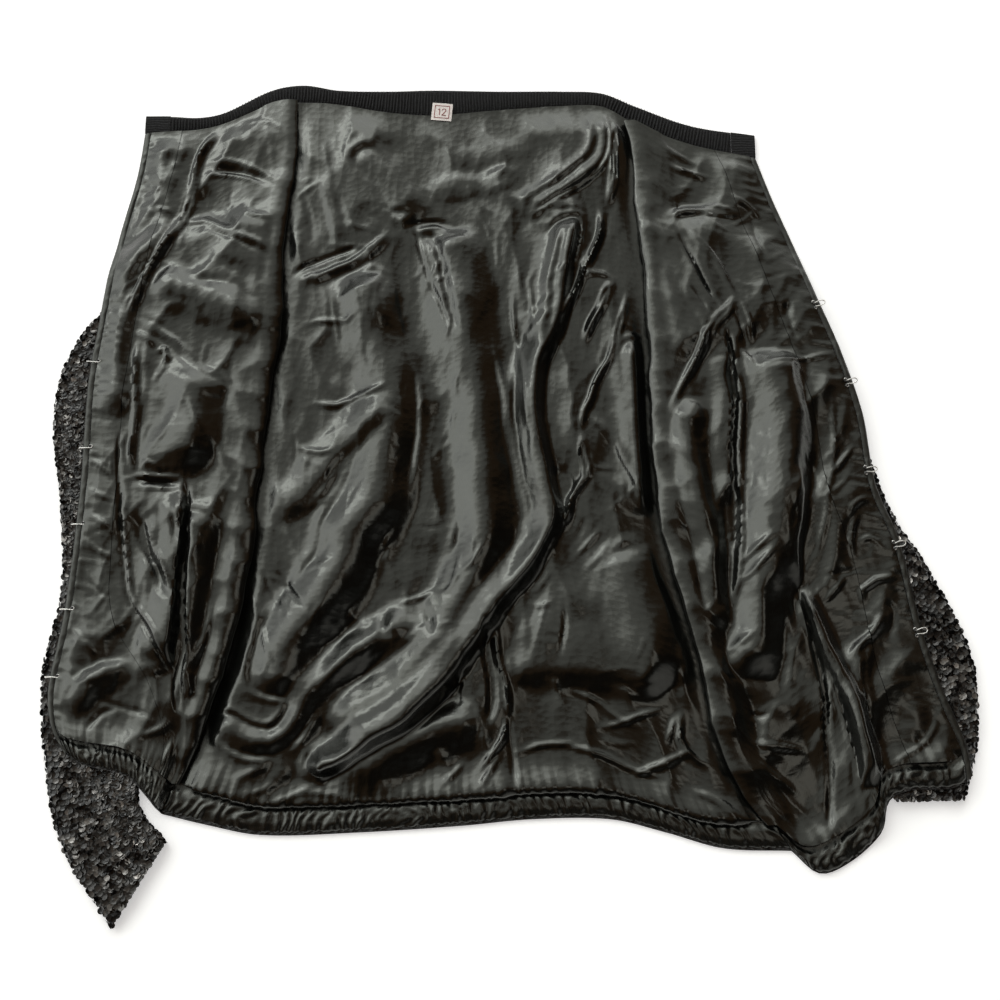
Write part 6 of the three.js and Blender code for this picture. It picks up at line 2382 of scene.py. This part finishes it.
@dataclass
class Fasteners:
    """Wire hooks on the left front and wire eyes on the right one, with their sewing."""

    finish: Finishes
    radius: float = 0.5
    above: float = 0.35
    thread: float = 0.22
    shank: float = 6.6
    loop: float = 2.4
    bridge: float = 1.5

    def place(self, front: Front, y: float) -> Tuple[Array, Array, Array]:
        """Place on the front edge at a height y, the way up the edge and the way out of it.

        Args:
            front: The front.
            y: Height up the edge.

        Returns:
            The place and the two ways.
        """
        v = np.linspace(0.0, front.top, 500)
        edge = front.under(np.zeros(len(v)), v)
        k = int(np.argmax(edge[:, 1] > y))
        point = edge[k].copy()
        up = edge[k + 3] - edge[k - 3]
        up[2] = 0
        up /= np.linalg.norm(up)
        near = slice(max(k - 4, 0), k + 5)
        start, _, _ = front.shares(v[near])
        inner = front.under(start * 1.9, v[near])
        point[2] = max(edge[near, 2].max(), inner[:, 2].max())
        out = np.array([-front.side.value * up[1], front.side.value * up[0], 0.0])
        return point, up, out

    def build(self, front: Front, heights: Sequence[float], shape: Sequence[Tuple[float, float, float]],
              name: str) -> None:
        """Make one front's row of hooks or eyes and the thread that holds each.

        Args:
            front: The front.
            heights: How far up the edge each one is.
            shape: Path of the wire: outwards, up the edge and high.
            name: Name of the row.
        """
        threads = Stock()
        for number, y in enumerate(heights, start=1):
            point, up, out = self.place(front, y)
            high = point[2] + LINING_MIDDLE + 0.6 + self.radius + self.above
            rows = np.array(shape)
            path = point + out * rows[:, :1] + up * rows[:, 1:2]
            path[:, 2] = high + rows[:, 2]
            stock = Stock()
            wire_stock(stock, Track(path).at(np.linspace(0, 1, 60)), self.radius, 10)
            attach(stock.build(f"{name}_wire_{number}", self.finish.wire), "hook_metal", f"{name}_{number}")
            for loop in (-1, 1) if name == "eye_right" else (1,):
                for turn in np.linspace(-0.9, 0.9, 4):
                    centre = point + out * (-self.shank + turn) + up * (self.loop * loop)
                    arc = np.linspace(-0.2, math.pi + 0.2, 9)
                    bridge = centre + up * (self.bridge * np.cos(arc))[:, None]
                    bridge[:, 2] = high - self.radius - 0.3 + self.bridge * np.sin(arc)
                    wire_stock(threads, bridge, self.thread, 6)
        attach(threads.build(f"{name}_thread", self.finish.thread), "binding")


@dataclass
class SizeTag:
    """A small woven size tag, sewn down over the rib's lower edge, with a plain generic number."""

    finish: Finishes
    x: float = -51.5
    y: float = 355.0
    width: float = 18.0
    height: float = 17.0
    bottom: float = 3.85
    wall: float = 0.55
    turn: float = -0.09
    margin: float = 2.6
    yarn: float = 0.36
    digits: Tuple[Tuple[Tuple[float, float], ...], ...] = (
        ((-3.4, 1.9), (-2.1, 3.2), (-2.1, -3.2)),
        ((0.2, 1.6), (0.7, 2.8), (1.9, 3.2), (3.1, 2.7), (3.4, 1.5), (2.8, 0.2), (0.2, -3.2), (3.6, -3.2)),
    )

    def spot(self, across: Array, up: Array, high: Array) -> Array:
        """Places on the tag from its own middle.

        Args:
            across: Distance to the right.
            up: Distance up.
            high: Height over the tag.

        Returns:
            The places.
        """
        c, s = math.cos(self.turn), math.sin(self.turn)
        sag = 0.5 * np.cos(across * math.pi / self.width) * 0.4
        x, y = self.x + across * c - up * s, self.y + across * s + up * c
        return np.stack([x, y, self.bottom + high + sag], axis=-1)

    def build(self) -> None:
        """Make the tag and its woven frame and number."""
        t, s = np.meshgrid(np.linspace(-0.5, 0.5, 24), np.linspace(-0.5, 0.5, 22), indexing="ij")
        fray = 1 + 0.012 * Noise(77).at(s * 22, t * 22)
        a, b = t * self.width * fray, s * self.height * fray
        stock = Stock()
        top = self.spot(a, b, np.full(a.shape, self.wall))
        stock.wall(top, self.spot(a, b, np.zeros(a.shape)), np.stack([a, b], axis=-1))
        ribbon = Taffeta("tag ribbon", (0.93, 0.86, 0.83)).material()
        attach(stock.build("size_tag", ribbon), "woven_tag", "size_label")
        marks = Stock()
        frame_x, frame_y = self.width / 2 - self.margin, self.height / 2 - self.margin
        corners = ((-frame_x, -frame_y), (frame_x, -frame_y), (frame_x, frame_y), (-frame_x, frame_y))
        lines = [(corners[k], corners[(k + 1) % 4]) for k in range(4)]
        for path in [*lines, *self.digits]:
            points = np.array(path, float)
            steps = np.linspace(0, 1, 7)[:-1, None]
            dense = np.concatenate([mix(p, q, steps) for p, q in zip(points, points[1:])] + [points[-1:]])
            wire_stock(marks, self.spot(*dense.T, np.full(len(dense), self.wall)), self.yarn, 6)
        woven = Thread("tag red thread", (0.33, 0.05, 0.045)).material()
        attach(marks.build("size_tag_weaving", woven), "woven_tag")


class Lamp(NamedTuple):
    """A soft rectangular lamp: its place, what it looks at, its watts, size and colour."""

    name: str
    place: Tuple[float, float, float]
    target: Tuple[float, float, float]
    power: float
    size: Tuple[float, float]
    colour: Colour


@dataclass
class Stage:
    """Plain pale floor, soft studio light and the camera at the photograph's angle."""

    camera_place: Tuple[float, float, float] = (-0.003, -0.3326, 1.1591)
    camera_target: Tuple[float, float, float] = (-0.003, -0.022, 0.0)
    lens: float = 52.28
    glow: float = 0.45
    table: Tuple[Colour, Colour] = ((0.86, 0.86, 0.86), (0.9, 0.9, 0.9))
    half_table: float = 4.0
    below: float = 0.0004
    bright_side: Tuple[float, float, float] = (-0.6, 0.8, 0.0)
    brightest: float = 2.8
    room: Tuple[Tuple[float, Colour, float], ...] = (
        (-1.0, (1.0, 0.97, 0.93), 0.6), (-0.86, (1.0, 0.97, 0.93), 0.5), (-0.7, (1.0, 0.95, 0.9), 0.05),
        (-0.5, (1.0, 0.6, 0.4), 0.02), (-0.34, (1.0, 0.66, 0.42), 0.03), (-0.2, (1.0, 0.56, 0.28), 0.14),
        (0.0, (1.0, 0.62, 0.34), 0.14), (0.08, (1.0, 0.92, 0.82), 0.28), (0.18, (1.0, 1.0, 0.94), 0.6),
        (0.4, (1.0, 1.0, 0.94), 0.74), (0.54, (0.99, 1.0, 0.95), 1.7), (0.64, (0.98, 1.0, 0.97), 2.8),
        (0.76, (0.98, 1.0, 0.98), 2.5), (0.95, (0.98, 1.0, 0.98), 1.1),
    )
    lamps: Tuple[Lamp, ...] = (
        Lamp("window", (-1.45, 2.1, 1.6), (0.0, 0.0, 0.0), 12.0, (1.6, 0.7), (0.97, 1.0, 0.97)),
        Lamp("ceiling", (0.95, -0.1, 2.5), (0.3, -0.2, 0.0), 2.2, (0.9, 0.9), (1.0, 1.0, 0.95)),
    )

    def floor(self) -> None:
        """A pale table top, level with the cloth's underside."""
        mesh = bpy.data.meshes.new("floor")
        half = self.half_table
        corners = [(x * half, y * half, 0) for x, y in ((-1, -1), (1, -1), (1, 1), (-1, 1))]
        mesh.from_pydata(corners, [], [(0, 1, 2, 3)])
        s = Shader("pale table")
        s.set(Roughness=0.9, Specular_IOR_Level=0.1, Emission_Strength=self.glow)
        s.body.inputs["Emission Color"].default_value = (1, 1, 1, 1)
        s.dye(s.noise(s.stretched("Object", (1, 1, 1)), 3, 2), *self.table)
        mesh.materials.append(s.material)
        top = bpy.data.objects.new("floor", mesh)
        top.location = (0, 0, -self.below)
        bpy.context.scene.collection.objects.link(top)

    def aim(self, made: bpy.types.Object, place: Sequence[float], target: Sequence[float]) -> None:
        """Put a lamp or a camera in its place and turn it to a target.

        Args:
            made: The object.
            place: Where it stands.
            target: What it looks at.
        """
        made.location = place
        made.rotation_euler = (Vector(target) - Vector(place)).to_track_quat("-Z", "Y").to_euler()
        bpy.context.scene.collection.objects.link(made)

    def light(self, lamp: Lamp) -> None:
        """Hang a lamp and turn it to its target."""
        data = bpy.data.lights.new(lamp.name, "AREA")
        data.shape = "RECTANGLE"
        data.size, data.size_y = lamp.size
        data.energy = lamp.power
        data.color = lamp.colour
        self.aim(bpy.data.objects.new(lamp.name, data), lamp.place, lamp.target)

    def studio(self) -> bpy.types.World:
        """Room light: pale at the near right, then dim and warm, then a wide bright wall on the far left."""
        world = bpy.data.worlds.new("studio")
        world.use_nodes = True
        tree = world.node_tree
        place = tree.nodes.new("ShaderNodeTexCoord")
        toward = tree.nodes.new("ShaderNodeVectorMath")
        toward.operation = "DOT_PRODUCT"
        toward.inputs[1].default_value = self.bright_side
        tree.links.new(place.outputs["Generated"], toward.inputs[0])
        share = tree.nodes.new("ShaderNodeMapRange")
        for name, value in (("From Min", -1.0), ("From Max", 1.0)):
            share.inputs[name].default_value = value
        tree.links.new(toward.outputs["Value"], share.inputs["Value"])
        ramp = tree.nodes.new("ShaderNodeValToRGB")
        ramp.color_ramp.interpolation = "EASE"
        points = ramp.color_ramp.elements
        while len(points) > 1:
            points.remove(points[-1])
        for number, (level, colour, light) in enumerate(self.room):
            point = points[0] if number == 0 else points.new((level + 1.0) / 2.0)
            point.position = (level + 1.0) / 2.0
            point.color = (*(c * light / self.brightest for c in colour), 1)
        tree.links.new(share.outputs["Result"], ramp.inputs["Fac"])
        background = tree.nodes["Background"]
        background.inputs["Strength"].default_value = self.brightest
        tree.links.new(ramp.outputs["Color"], background.inputs["Color"])
        return world

    def build(self) -> None:
        """Set the floor, the world, the lamps and the camera."""
        self.floor()
        scene = bpy.context.scene
        scene.world = self.studio()
        scene.view_settings.view_transform = "Standard"
        for lamp in self.lamps:
            self.light(lamp)
        camera = bpy.data.cameras.new("camera")
        camera.lens = self.lens
        camera.sensor_width = 36.0
        eye = bpy.data.objects.new("camera", camera)
        self.aim(eye, self.camera_place, self.camera_target)
        scene.camera = eye


def declare_sheets() -> None:
    """Look up by name the pieces sewn on each sheet of cloth; the sheets' cut sizes are not given to
    anything.
    """
    piece = bpy.data.objects
    for row in SHEETS:
        list(row.rests_on)
        [piece[name] for name in row.trims]


def main() -> None:
    """Build the garment in order and report each piece."""
    logging.basicConfig(level=logging.INFO, format="%(message)s")
    Stage().build()
    finish = Finishes.make()
    back = Back(finish)
    back.shell()
    back.lining()
    back.hem_band()
    fronts = (
        Front(Side.LEFT, finish, Sleeve(Side.LEFT, SLEEVE_LEFT), EDGE_LEFT, HEM_LEFT, SEAM_LEFT, TAB_ENDS[0],
              FACING_LEFT, LEFT_FOLDS, small=55),
        Front(Side.RIGHT, finish, Sleeve(Side.RIGHT, SLEEVE_RIGHT), EDGE_RIGHT, HEM_RIGHT, SEAM_RIGHT,
              TAB_ENDS[3], FACING_RIGHT, RIGHT_FOLDS, small=60),
    )
    for front in fronts:
        front.build()
    NeckBand(finish).build()
    fasteners = Fasteners(finish)
    fasteners.build(fronts[0], HOOK_HEIGHTS, HOOK_PATH, "hook_left")
    fasteners.build(fronts[1], EYE_HEIGHTS, EYE_PATH, "eye_right")
    SizeTag(finish).build()
    stitches = StitchRow()
    lines = [front.binding_line(stitches.share, stitches.high) for front in fronts]
    attach(stitches.build("binding_stitches", lines, finish.thread), "binding")
    declare_sheets()


if __name__ == "__main__":
    main()
